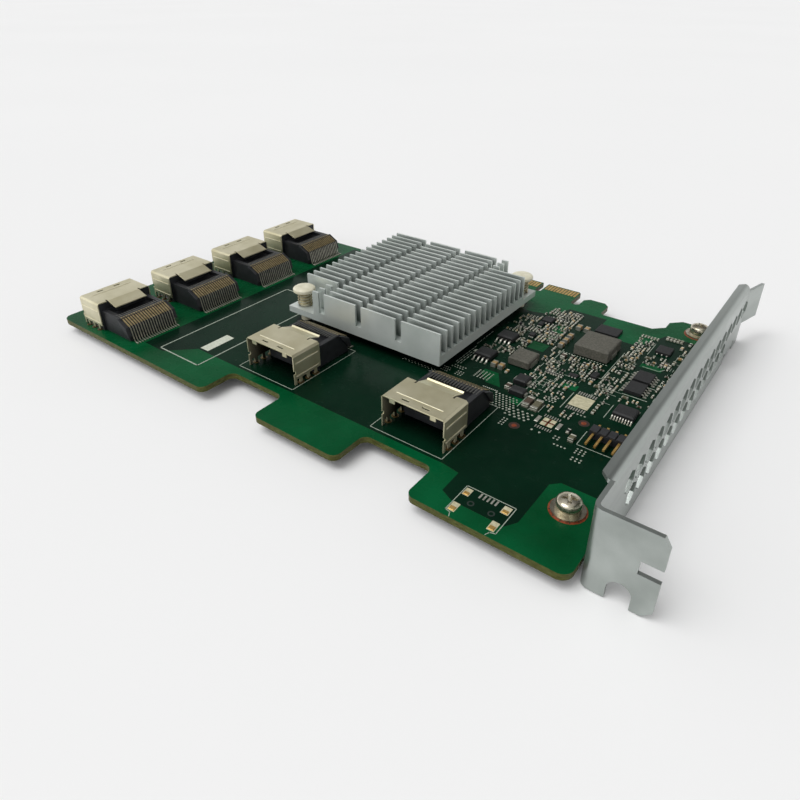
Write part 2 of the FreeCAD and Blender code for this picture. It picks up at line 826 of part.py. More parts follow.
def make_bracket():
    body = new_body("slot_bracket")
    sheet = dim.bracket_sheet
    inner = dim.board_right + dim.bracket_gap
    outer = inner + sheet
    low = -dim.bracket_drop
    high = low + dim.bracket_width
    tab_inner = -dim.tab_level
    tab_outer = tab_inner - sheet
    bend_end = tab_inner + dim.tab_bend + sheet
    lip_start = -dim.lip_start
    lip_end = lip_start + dim.lip_length
    lip_root = high - dim.lip_bend - sheet
    ear_half = dim.ear_width / 2
    tongue_low = low + dim.tongue_low
    tongue_high = tongue_low + dim.tongue_width

    # Face, lower beside the lip and open at the foot where the ears turn under the board
    face = [(tab_inner + dim.tab_bend, low)]
    for place in screw_places:
        left = place[1] - ear_half - dim.ear_relief
        right = place[1] + ear_half + dim.ear_relief
        face += [(left, low), (left, dim.ear_bend), (right, dim.ear_bend), (right, low)]
    face += [
        (dim.face_end, low),
        (dim.face_end, lip_root),
        (lip_start, lip_root),
        (lip_start, high),
        (tab_inner + dim.tab_bend, high),
    ]
    extrude(body, "YZ_Plane", inner, outer, [face])

    # Lip along the top, folded in over the board
    lip_inner = outer - dim.lip_reach
    lip = [
        (inner, lip_root - sheet),
        (outer, lip_root - sheet),
        (outer, high, dim.lip_bend + sheet),
        (lip_inner, high),
        (lip_inner, high - sheet),
        (inner, high - sheet, dim.lip_bend),
    ]
    extrude(body, "XZ_Plane", lip_start, lip_end, [lip])

    # Screw tab, folded out at the end
    tab_end = outer + dim.tab_reach
    tab = [
        (inner, bend_end),
        (inner, tab_outer, dim.tab_bend + sheet),
        (tab_end, tab_outer),
        (tab_end, tab_inner),
        (outer, tab_inner, dim.tab_bend),
        (outer, bend_end),
    ]
    extrude(body, "XY_Plane", low, high, [tab])
    notch_low = low + dim.align_notch_low
    notch_high = notch_low + dim.align_notch_height
    notch = rectangle(tab_end - dim.align_notch_depth, notch_low, tab_end + sheet, notch_high)
    corner_cut = [
        (tab_end - dim.tab_corner_width, high),
        (tab_end, high - dim.tab_corner_height),
        (tab_end + sheet, high - dim.tab_corner_height),
        (tab_end + sheet, high + sheet),
        (tab_end - dim.tab_corner_width, high + sheet),
    ]
    extrude(body, "XZ_Plane", tab_outer - sheet, tab_inner + sheet, [notch, corner_cut], cut=True)
    slot_x = tab_end - dim.tab_slot_inset
    slot_half = dim.tab_slot_width / 2
    slot_middle = low + dim.tab_slot_height - slot_half
    slot = rectangle(slot_x - slot_half, low - sheet, slot_x + slot_half, slot_middle)
    extrude(body, "XZ_Plane", tab_outer - sheet, tab_inner + sheet, [slot], cut=True)
    top_of_slot = [((slot_x, slot_middle), dim.tab_slot_width)]
    extrude(body, "XZ_Plane", tab_outer - sheet, tab_inner + sheet, circles=top_of_slot, cut=True)

    # Ears that carry the board
    ear = [
        (inner, dim.ear_bend + sheet),
        (inner, 0),
        (inner - dim.ear_reach, 0),
        (inner - dim.ear_reach, -sheet),
        (outer, -sheet),
        (outer, dim.ear_bend + sheet),
    ]
    for place in screw_places:
        extrude(body, "XZ_Plane", place[1] - ear_half, place[1] + ear_half, [ear])
    ear_holes = [(place, dim.screw_dia + 2 * dim.screw_fit) for place in screw_places]
    extrude(body, "XY_Plane", -2 * sheet, sheet, circles=ear_holes, cut=True)

    # Foot tongue, bent outwards
    tongue_end = tab_outer + dim.bracket_length
    tongue = [
        (inner, dim.face_end - sheet),
        (outer, dim.face_end - sheet),
        (outer, dim.face_end),
        (outer + dim.tongue_bend_out, tongue_end),
        (inner + dim.tongue_bend_out, tongue_end),
        (inner, dim.face_end),
    ]
    extrude(body, "XY_Plane", tongue_low, tongue_high, [tongue])

    dress_edges(body, "Chamfer", dim.lip_corner, "z", [(lip_inner, lip_start), (lip_inner, lip_end)])
    ear_end = inner - dim.ear_reach
    ear_corners = [(ear_end, place[1] + side) for place in screw_places for side in (-ear_half, ear_half)]
    dress_edges(body, "Chamfer", dim.ear_corner, "z", ear_corners)
    dress_edges(body, "Chamfer", dim.tab_foot_corner, "y", [(tab_end, low)])

    # Two staggered rows of six-sided vents
    row_step = dim.vent_pitch * math.sqrt(3) / 2
    upper_z = low + dim.vent_low + row_step
    rows = [(-dim.vent_first, upper_z, dim.vent_count_upper)]
    rows.append((-dim.vent_first + dim.vent_pitch / 2, low + dim.vent_low, dim.vent_count_lower))
    for y, z, count in rows:
        outline = hexagon(y, z, dim.vent_flat)
        vent = extrude(body, "YZ_Plane", inner - sheet, outer + sheet, [outline], cut=True)
        repeat(body, vent, "Y_Axis", count, dim.vent_pitch)


def hexagon(x, y, flat):
    """A six-sided outline with its points up and down."""
    half = flat / 2
    side = half / math.sqrt(3)
    return [
        (x, y - 2 * side),
        (x + half, y - side),
        (x + half, y + side),
        (x, y + 2 * side),
        (x - half, y + side),
        (x - half, y - side),
    ]


def make_fasteners():
    """Two screws, each with a split lock washer on a flat washer."""
    x, y = screw_places[0]
    flat_top = board_top + dim.flat_washer_thick
    lock_top = flat_top + dim.lock_washer_thick

    washers = new_body("flat_washers")
    rings = [((x, y), dim.flat_washer_dia), ((x, y), dim.washer_bore)]
    pad = extrude(washers, "XY_Plane", board_top, flat_top, circles=rings)
    repeat(washers, pad, "Y_Axis", as_size(2), screw_pitch)

    locks = new_body("lock_washers")
    split = centred(x - dim.lock_washer_dia / 2, y, dim.lock_washer_dia, dim.lock_washer_split)
    for place in screw_places:
        rings = [(place, dim.lock_washer_dia), (place, dim.washer_bore)]
        extrude(locks, "XY_Plane", flat_top, lock_top, circles=rings)
    cut = extrude(locks, "XY_Plane", flat_top, lock_top, [split], cut=True)
    repeat(locks, cut, "Y_Axis", as_size(2), screw_pitch)

    for label, place in zip(("front_screw", "rear_screw"), screw_places):
        screw = new_body(label, (place[0], place[1], lock_top))
        head = dim.screw_head_dia / 2
        shank = dim.screw_dia / 2
        tip = -lock_top - dim.bracket_sheet - dim.screw_tip
        revolve(screw, [
            (0, tip),
            (shank, tip),
            (shank, 0),
            (head, 0),
            (head, dim.screw_head_height),
            (0, dim.screw_head_height),
        ])


def make_heatsink():
    body = new_body("heatsink")
    left = dim.heatsink_left
    front = dim.heatsink_front
    block = rectangle(left, front, heatsink_right, heatsink_rear)
    extrude(body, "XY_Plane", heatsink_low, fin_top, [block])

    fin_pitch = (dim.heatsink_depth - dim.fin_thick) / (dim.fin_count - 1)
    over = dim.fin_thick

    # Saw cuts across the fins
    cut_x = heatsink_x - dim.cross_cut_pitch * (dim.cross_cut_count - 1) / 2
    half = dim.cross_cut_width / 2
    saw = rectangle(cut_x - half, front - over, cut_x + half, heatsink_rear + over)
    cut = extrude(body, "XY_Plane", base_top, fin_top + over, [saw], cut=True)
    repeat(body, cut, "X_Axis", dim.cross_cut_count, dim.cross_cut_pitch)

    # Two corners milled down for the push pins, with their holes
    depth = fin_pitch * dim.corner_clear_rows
    length = dim.corner_clear_length
    right = heatsink_right + over
    rear = heatsink_rear + over
    corners = [
        rectangle(left - over, front - over, left + length, front + depth),
        rectangle(heatsink_right - length, heatsink_rear - depth, right, rear),
    ]
    extrude(body, "XY_Plane", pin_seat, fin_top + over, corners, cut=True)
    holes = [(place, dim.pin_shaft_dia + 2 * dim.pin_fit) for place in pin_places.values()]
    extrude(body, "XY_Plane", heatsink_low - over, base_top + over, circles=holes, cut=True)

    # Channels between the fins
    channel_front = front + dim.fin_thick
    channel = rectangle(left - over, channel_front, right, front + fin_pitch)
    cut = extrude(body, "XY_Plane", base_top, fin_top + over, [channel], cut=True)
    repeat(body, cut, "Y_Axis", dim.fin_count - 1, fin_pitch)


def make_expander_chip():
    """The chip under the heatsink and the pad that carries its heat."""
    chip = new_body("expander_chip")
    lid_low = board_top + dim.chip_substrate
    lid_top = lid_low + dim.chip_lid
    substrate = centred(heatsink_x, heatsink_y, dim.chip_side, dim.chip_side)
    lid = centred(heatsink_x, heatsink_y, dim.chip_lid_side, dim.chip_lid_side)
    extrude(chip, "XY_Plane", board_top, lid_low, [substrate])
    extrude(chip, "XY_Plane", lid_low, lid_top, [lid])
    pad = new_body("thermal_pad")
    extrude(pad, "XY_Plane", lid_top, heatsink_low, [lid])


def make_push_pin(name, place):
    """A pin with a broad head, and the barbs of its tip under the board."""
    pin = new_body(f"{name}_push_pin", (place[0], place[1], 0))
    head_low = pin_seat + dim.spring_height
    shaft = dim.pin_shaft_dia / 2
    head = dim.pin_head_dia / 2
    head_top = head_low + dim.pin_head_height
    revolve(pin, [
        (0, 0),
        (shaft, 0),
        (shaft, head_low),
        (head, head_low),
        (head, head_top),
        (0, head_top),
    ])
    tip = dim.pin_tip_width / 2
    barb = dim.pin_barb_width / 2
    arrow = [
        (-tip, -dim.pin_barb_length),
        (tip, -dim.pin_barb_length),
        (barb, -dim.pin_barb_rim),
        (barb, 0),
        (-barb, 0),
        (-barb, -dim.pin_barb_rim),
    ]
    extrude(pin, "XZ_Plane", -dim.pin_barb_thick / 2, dim.pin_barb_thick / 2, [arrow])


def make_pin_spring(name, place):
    """A coil of square wire from the heatsink to the pin's head, with few flats to a turn."""
    wire = dim.spring_wire.value
    inside = dim.pin_shaft_dia.value / 2 + dim.spring_fit.value
    rise = dim.spring_height.value - wire
    steps = round(dim.spring_turns.value * dim.spring_steps.value)
    sections = []
    for step in range(steps + 1):
        low = rise * step / steps
        corners = [(inside, low), (inside + wire, low), (inside + wire, low + wire), (inside, low + wire)]
        section = Part.makePolygon([FreeCAD.Vector(radius, 0, z) for radius, z in corners + corners[:1]])
        turn = 360 * step / dim.spring_steps.value
        section.rotate(FreeCAD.Vector(), FreeCAD.Vector(0, 0, 1), turn)
        sections.append(section)
    spring = doc.addObject("Part::Feature", f"{name}_pin_spring")
    spring.Shape = Part.makeLoft(sections, True, True)
    for axis, size in zip("xyz", (place[0], place[1], pin_seat)):
        bind(spring, f"Placement.Base.{axis}", size)
    subparts.append(spring)


def make_inductor(label, x, y, width, depth, height):
    body = new_body(label)
    low = board_top + dim.terminal_thick
    extrude(body, "XY_Plane", low, board_top + height, [centred(x, y, width, depth)])
    bevel(body, dim.inductor_chamfer, board_top + height)
    return x, y, width


def bevel(body, size, level):
    """Bevel every edge that lies at a level."""
    doc.recompute()
    base = body.Tip
    names = []
    for number, edge in enumerate(base.Shape.Edges, start=1):
        if all(abs(vertex.Z - level.value) < NEAR for vertex in edge.Vertexes):
            names.append(f"Edge{number}")
    feature = add_feature(body, "Chamfer")
    feature.Base = (base, names)
    bind(feature, "Size", size)


def make_inductors():
    coils = [
        ("large_inductor", dim.large_inductor_x, dim.large_inductor_y, dim.large_inductor_width,
         dim.large_inductor_depth, dim.large_inductor_height),
        ("small_inductor", dim.small_inductor_x, dim.small_inductor_y, dim.small_inductor_width,
         dim.small_inductor_depth, dim.small_inductor_height),
    ]
    ends = [make_inductor(*coil) for coil in coils]

    # Folded strips that run under the block and up its two ends
    terminals = new_body("inductor_terminals")
    thick = dim.terminal_thick
    low = board_top
    half_strip = dim.terminal_share / 2
    for x, y, width in ends:
        for sign in (-1, 1):
            inside = x + sign * (width / 2 - dim.terminal_foot)
            wall = x + sign * width / 2
            outside = wall + sign * thick
            strip = [
                (inside, low),
                (outside, low),
                (outside, low + dim.terminal_rise),
                (wall, low + dim.terminal_rise),
                (wall, low + thick),
                (inside, low + thick),
            ]
            if sign < 0:
                strip.reverse()
            extrude(terminals, "XZ_Plane", y - half_strip, y + half_strip, [strip])


def make_packages():
    """Black chip packages with bevelled tops, and the leads of the three small-outline ones."""
    stand = board_top + dim.package_standoff
    small_top = stand + dim.small_package_height
    transistor = (dim.transistor_width, dim.transistor_depth, dim.transistor_leads,
                  dim.transistor_lead_pitch, dim.transistor_lead_width, dim.transistor_lead_reach)
    controller = (dim.controller_width, dim.controller_depth, dim.controller_leads,
                  dim.controller_lead_pitch, dim.controller_lead_width, dim.controller_lead_reach)
    places = {
        "rear_transistor": (dim.transistor_x, dim.transistor_rear_y, transistor),
        "front_transistor": (dim.transistor_x, dim.transistor_front_y, transistor),
        "controller_chip": (dim.controller_x, dim.controller_y, controller),
    }
    leads = new_body("chip_leads")
    for label, (x, y, package) in places.items():
        width, depth, count, pitch, lead_width, reach = package
        body = new_body(label)
        extrude(body, "XY_Plane", stand, small_top, [centred(x, y, width, depth)])
        bevel(body, dim.package_chamfer, small_top)
        left = x - pitch * (count - 1) / 2 - lead_width / 2
        for sign in (-1, 1):
            wing = gull_wing(y + sign * depth / 2, sign, reach)
            pad = extrude(leads, "YZ_Plane", left, left + lead_width, [wing])
            repeat(leads, pad, "X_Axis", count, pitch)

    flat = new_body("regulator_chip")
    outline = centred(dim.regulator_x, dim.regulator_y, dim.regulator_width, dim.regulator_depth)
    extrude(flat, "XY_Plane", board_top, board_top + dim.regulator_height, [outline])
    for label, y in (("rear_memory_chip", dim.memory_rear_y), ("front_memory_chip", dim.memory_front_y)):
        body = new_body(label)
        outline = centred(dim.memory_x, y, dim.memory_width, dim.memory_depth)
        extrude(body, "XY_Plane", board_top, board_top + dim.memory_height, [outline])


def gull_wing(wall, sign, reach):
    """A lead that leaves the package's side and slopes down to its foot on the board."""
    high = board_top + dim.lead_level
    end = wall + sign * reach
    strip = [
        (wall, high),
        (end - sign * dim.lead_foot, board_top),
        (end, board_top),
        (wall, high + dim.lead_thick),
    ]
    return strip if sign > 0 else strip[::-1]


def make_header():
    base = new_body("header_base")
    width = dim.header_pitch * dim.header_pins
    outline = centred(dim.header_x, dim.header_y, width, dim.header_depth)
    top = board_top + dim.header_height
    extrude(base, "XY_Plane", board_top, top, [outline])
    groove_x = dim.header_x - dim.header_pitch * (dim.header_pins - 2) / 2
    half = dim.header_groove / 2
    groove = rectangle(groove_x - half, header_front, groove_x + half, header_rear)
    cut = extrude(base, "XY_Plane", top - dim.header_groove_depth, top, [groove], cut=True)
    repeat(base, cut, "X_Axis", dim.header_pins - 1, dim.header_pitch)
    side = dim.header_pin_side
    pin_z = board_top + dim.header_pin_level
    bore_x = header_left
    bore = centred(bore_x, pin_z, side, side)
    cut = extrude(base, "XZ_Plane", header_front, header_rear, [bore], cut=True)
    repeat(base, cut, "X_Axis", dim.header_pins, dim.header_pitch)

    # Square pins that point forward and turn down through the board behind the base
    pins = new_body("header_pins")
    tip = header_front - dim.header_pin_reach
    back = header_tail_y + side / 2
    tail = -dim.header_pin_tail
    pin = [
        (tip, pin_z - side / 2),
        (back - side, pin_z - side / 2),
        (back - side, tail),
        (back, tail),
        (back, pin_z + side / 2),
        (tip, pin_z + side / 2),
    ]
    pad = extrude(pins, "YZ_Plane", bore_x - side / 2, bore_x + side / 2, [pin])
    repeat(pins, pad, "X_Axis", dim.header_pins, dim.header_pitch)


def make_capacitors():
    """Rows of tan ceramic capacitors, with plated caps on their front and rear ends."""
    rows = [
        (dim.supply_row_x, dim.supply_row_y, "X_Axis", dim.supply_row_pitch, dim.supply_row_count),
        (dim.output_row_x, dim.output_row_y, "Y_Axis", dim.output_row_pitch, dim.output_row_count),
        (dim.input_row_x, dim.input_row_y, "X_Axis", dim.input_row_pitch, dim.input_row_count),
    ]
    bodies = new_body("ceramic_capacitors")
    ends = new_body("capacitor_terminals")
    lap = dim.cap_terminal_lap
    length = dim.cap_length - 2 * dim.cap_terminal
    for x, y, axis, pitch, count in rows:
        block = centred(x, y, dim.cap_width, length)
        caps = []
        for sign in (-1, 1):
            end_y = y + sign * (length + dim.cap_terminal) / 2
            caps.append(centred(x, end_y, dim.cap_width + 2 * lap, dim.cap_terminal))
        pad = extrude(bodies, "XY_Plane", board_top, board_top + dim.cap_height, [block])
        repeat(bodies, pad, axis, count, pitch)
        pad = extrude(ends, "XY_Plane", board_top, board_top + dim.cap_height + lap, caps)
        repeat(ends, pad, axis, count, pitch)


def make_block_parts():
    """A dark diode and a dark supply capacitor, both with plated ends."""
    ends = new_body("block_terminals")
    parts = [
        ("diode", dim.diode_x, dim.diode_y, dim.diode_width, dim.diode_depth, dim.diode_height),
        ("supply_capacitor", dim.block_x, dim.block_y, dim.block_width, dim.block_depth, dim.block_height),
    ]
    for label, x, y, width, depth, height in parts:
        body = new_body(label)
        length = width - 2 * dim.end_cap
        extrude(body, "XY_Plane", board_top, board_top + height, [centred(x, y, length, depth)])
        bevel(body, dim.inductor_chamfer, board_top + height)
        caps = []
        for sign in (-1, 1):
            end_x = x + sign * (length + dim.end_cap) / 2
            caps.append(centred(end_x, y, dim.end_cap, depth / 2))
        extrude(ends, "XY_Plane", board_top, board_top + height / 2, caps)


make_board()
make_edge_contacts()
make_ports()
make_bracket()
make_fasteners()
make_heatsink()
make_expander_chip()
for name, place in pin_places.items():
    make_push_pin(name, place)
    make_pin_spring(name, place)
make_inductors()
make_packages()
make_header()
make_capacitors()
make_block_parts()
for subpart in subparts:
    last_feature = getattr(subpart, "Tip", None)
    if hasattr(last_feature, "Refine"):
        last_feature.Refine = True
doc.recompute()

for thing in doc.Objects:
    if "Invalid" in thing.State or "Error" in thing.State:
        raise RuntimeError(f"{thing.Label} failed: {thing.State}")
for subpart in subparts:
    if subpart.Shape.isNull() or not subpart.Shape.isValid():
        raise RuntimeError(f"{subpart.Label} has no valid shape")

os.makedirs("parts", exist_ok=True)
for subpart in subparts:
    subpart.Shape.exportStep(f"parts/{subpart.Label}.step")
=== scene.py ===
import json
import math
import random
from collections import namedtuple

import bmesh
import bpy
from mathutils import Matrix, Vector


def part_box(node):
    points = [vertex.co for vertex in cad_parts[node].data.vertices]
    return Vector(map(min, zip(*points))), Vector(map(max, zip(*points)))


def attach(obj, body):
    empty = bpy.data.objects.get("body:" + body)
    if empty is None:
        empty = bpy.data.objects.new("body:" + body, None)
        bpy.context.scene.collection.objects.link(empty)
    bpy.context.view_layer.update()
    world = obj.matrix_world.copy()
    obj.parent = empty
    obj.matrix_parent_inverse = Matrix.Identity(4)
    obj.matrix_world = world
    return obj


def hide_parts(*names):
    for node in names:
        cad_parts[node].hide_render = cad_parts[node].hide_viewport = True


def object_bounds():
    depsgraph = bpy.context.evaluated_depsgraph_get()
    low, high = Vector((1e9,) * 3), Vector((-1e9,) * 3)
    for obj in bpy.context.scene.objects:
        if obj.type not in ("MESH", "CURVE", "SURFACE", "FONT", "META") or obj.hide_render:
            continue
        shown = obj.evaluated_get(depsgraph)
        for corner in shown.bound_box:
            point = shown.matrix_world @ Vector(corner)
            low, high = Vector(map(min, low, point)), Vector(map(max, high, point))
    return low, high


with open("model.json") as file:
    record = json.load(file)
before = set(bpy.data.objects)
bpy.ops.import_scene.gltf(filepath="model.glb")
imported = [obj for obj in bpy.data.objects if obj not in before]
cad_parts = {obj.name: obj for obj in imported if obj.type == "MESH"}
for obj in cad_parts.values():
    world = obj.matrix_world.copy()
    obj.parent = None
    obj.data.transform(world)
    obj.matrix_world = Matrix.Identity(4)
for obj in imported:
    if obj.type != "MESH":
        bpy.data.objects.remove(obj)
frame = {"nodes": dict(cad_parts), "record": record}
cad_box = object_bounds()
nodes = frame["nodes"]

# All sizes below are in millimetres, in the card's own frame
MM = 0.001

# Camera: its place, the directions of its picture's axes, and its lens for a square picture
CAMERA_PLACE = (81.351, -189.187, 90.21)
CAMERA_RIGHT = (0.79774, 0.603, -0.00185)
CAMERA_DOWN = (0.298, -0.3969, -0.86814)
CAMERA_NEAR = 10
PICTURE_PIXELS = 800
FOCAL_PIXELS = 645.7
AXIS_ROW_PIXEL = 350
SENSOR_WIDTH = 36.0


def srgb(code):
    """A linear colour from its usual six-digit code."""
    values = [int(code[i:i + 2], 16) / 255 for i in (0, 2, 4)]
    return [v / 12.92 if v <= 0.04045 else ((v + 0.055) / 1.055) ** 2.4 for v in values] + [1.0]


def node_box(name):
    """Lowest and highest corner of a CAD node."""
    low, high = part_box(name)
    return [v / MM for v in low], [v / MM for v in high]


board_low, board_high = node_box("circuit_board")
TOP = board_high[2]
UNDER = board_low[2]


# Materials

# Most values of a noise lie between these
NOISE_LOW = 0.3
NOISE_HIGH = 0.7
EDGE_SAMPLES = 8
PAINTED_SHADE_SAMPLES = 24

# Painted shade in gaps: the dark colour painted there, how far its walls count, and how open a place is
# where it is fully dark and where it is clear
PaintedGapShade = namedtuple("PaintedGapShade", "colour reach closed clear")


class Tree:
    """A node tree under construction."""

    def __init__(self, tree):
        self.tree = tree

    def node(self, kind, **settings):
        made = self.tree.nodes.new(kind)
        for key, value in settings.items():
            setattr(made, key, value)
        return made

    def link(self, source, target):
        self.tree.links.new(source, target)

    def ramp(self, factor, stops):
        """Colours at places along a factor's range."""
        made = self.node("ShaderNodeValToRGB")
        band = made.color_ramp
        while len(band.elements) < len(stops):
            band.elements.new(1.0)
        for element, (place, colour) in zip(band.elements, stops):
            element.position = place
            element.color = colour
        self.link(factor, made.inputs["Fac"])
        return made.outputs["Color"]


class Look(Tree):
    """A procedural material under construction."""

    def __init__(self, name, metallic=0.0):
        self.material = bpy.data.materials.new(name)
        self.material.use_nodes = True
        super().__init__(self.material.node_tree)
        self.shader = self.tree.nodes["Principled BSDF"]
        self.shader.inputs["Metallic"].default_value = metallic
        self.place = self.node("ShaderNodeTexCoord").outputs["Object"]

    def noise(self, size, stretch=(1, 1, 1), detail=4.0):
        """Soft noise with patches of about the given size, drawn out along the axes."""
        mapping = self.node("ShaderNodeMapping")
        mapping.inputs["Scale"].default_value = [1 / (size * MM * s) for s in stretch]
        self.link(self.place, mapping.inputs["Vector"])
        made = self.node("ShaderNodeTexNoise")
        made.inputs["Scale"].default_value = 1.0
        made.inputs["Detail"].default_value = detail
        self.link(mapping.outputs["Vector"], made.inputs["Vector"])
        return made.outputs["Fac"]

    def mix(self, factor, first, second):
        """Blend two colour outputs."""
        made = self.node("ShaderNodeMix", data_type="RGBA")
        self.link(factor, made.inputs["Factor"])
        self.link(first, made.inputs["A"])
        self.link(second, made.inputs["B"])
        return made.outputs["Result"]

    def spread(self, factor, low, high, start=NOISE_LOW, end=NOISE_HIGH):
        """Stretch a span of a factor, such as the middle of a noise, over a range of values."""
        made = self.node("ShaderNodeMapRange")
        made.inputs["From Min"].default_value = start
        made.inputs["From Max"].default_value = end
        made.inputs["To Min"].default_value = low
        made.inputs["To Max"].default_value = high
        self.link(factor, made.inputs["Value"])
        return made.outputs["Result"]

    def bump(self, height, depth, strength=1.0, edge=0.0):
        """A fine relief, and edges that look rounded by some radius."""
        made = self.node("ShaderNodeBump")
        made.inputs["Distance"].default_value = depth * MM
        made.inputs["Strength"].default_value = strength
        self.link(height, made.inputs["Height"])
        if edge:
            rounded = self.node("ShaderNodeBevel", samples=EDGE_SAMPLES)
            rounded.inputs["Radius"].default_value = edge * MM
            self.link(rounded.outputs["Normal"], made.inputs["Normal"])
        self.link(made.outputs["Normal"], self.shader.inputs["Normal"])

    def paint_gap_shade(self, colour, gap):
        """Painted shade: a colour that turns to a dark one where the surface lies deep in a gap, where
        shade would fall.
        """
        openness = self.node("ShaderNodeAmbientOcclusion", samples=PAINTED_SHADE_SAMPLES)
        openness.inputs["Distance"].default_value = gap.reach * MM
        made = self.node("ShaderNodeMix", data_type="RGBA")
        made.inputs["A"].default_value = srgb(gap.colour)
        share = self.spread(openness.outputs["AO"], 0.0, 1.0, gap.closed, gap.clear)
        self.link(share, made.inputs["Factor"])
        self.link(colour, made.inputs["B"])
        return made.outputs["Result"]

    def colour(self, output):
        self.link(output, self.shader.inputs["Base Color"])

    def roughness(self, output):
        self.link(output, self.shader.inputs["Roughness"])


def patchy(name, dark, light, patch, gloss, metallic=0.0, grain=0.1, relief=0.006,
           stretch=(1, 1, 1), edge=0.0, deep=None):
    """Two close colours in soft patches, uneven gloss, a fine relief, soft edges and painted shade in gaps.
    """
    look = Look(name, metallic)
    coarse = look.noise(patch, stretch)
    fine = look.noise(grain, stretch, detail=2.0)
    tone = look.ramp(coarse, [(NOISE_LOW, srgb(dark)), (NOISE_HIGH, srgb(light))])
    # deep paints shade into the colour where the surface lies in a gap
    look.colour(look.paint_gap_shade(tone, deep) if deep else tone)
    look.roughness(look.spread(fine, *gloss))
    look.bump(fine, relief, edge=edge)
    return look.material


# Solder mask with painted shade where it lies deep between parts, and the woven laminate at the board's cut
# edges
MASK_PATCH = 22
MASK_SPAN = (0.25, 0.75)
MASK_WAVE = 2.4
MASK_RELIEF = 0.004
MASK_RELIEF_STRENGTH = 0.5
MASK_SHINE = 0.07
MASK_PAINTED_SHADE = PaintedGapShade("010604", 10.0, 0.12, 0.6)
WEAVE_SIZE = 0.25
WEAVE_STRETCH = (6, 6, 0.35)
WEAVE_TONES = [(0.3, srgb("292a10")), (0.55, srgb("50522a")), (0.8, srgb("75784a"))]


def board_look(name, dark, light, gloss):
    """Glossy solder mask, painted darker as shade where it lies deep between parts, with the woven laminate
    showing at the cut edges.
    """
    look = Look(name)
    coarse = look.noise(MASK_PATCH)
    waves = look.noise(MASK_WAVE, detail=1.0)
    mask = look.ramp(coarse, list(zip(MASK_SPAN, (srgb(dark), srgb(light)))))
    edge = look.ramp(look.noise(WEAVE_SIZE, WEAVE_STRETCH), WEAVE_TONES)
    normal = look.node("ShaderNodeSeparateXYZ")
    look.link(look.node("ShaderNodeNewGeometry").outputs["Normal"], normal.inputs["Vector"])
    flat = look.node("ShaderNodeMath", operation="ABSOLUTE")
    look.link(normal.outputs["Z"], flat.inputs[0])
    # The mask is painted darker as shade where it lies deep between parts
    look.colour(look.mix(flat.outputs["Value"], edge, look.paint_gap_shade(mask, MASK_PAINTED_SHADE)))
    look.roughness(look.spread(waves, *gloss))
    look.bump(waves, MASK_RELIEF, MASK_RELIEF_STRENGTH)
    look.shader.inputs["Specular IOR Level"].default_value = MASK_SHINE
    return look.material


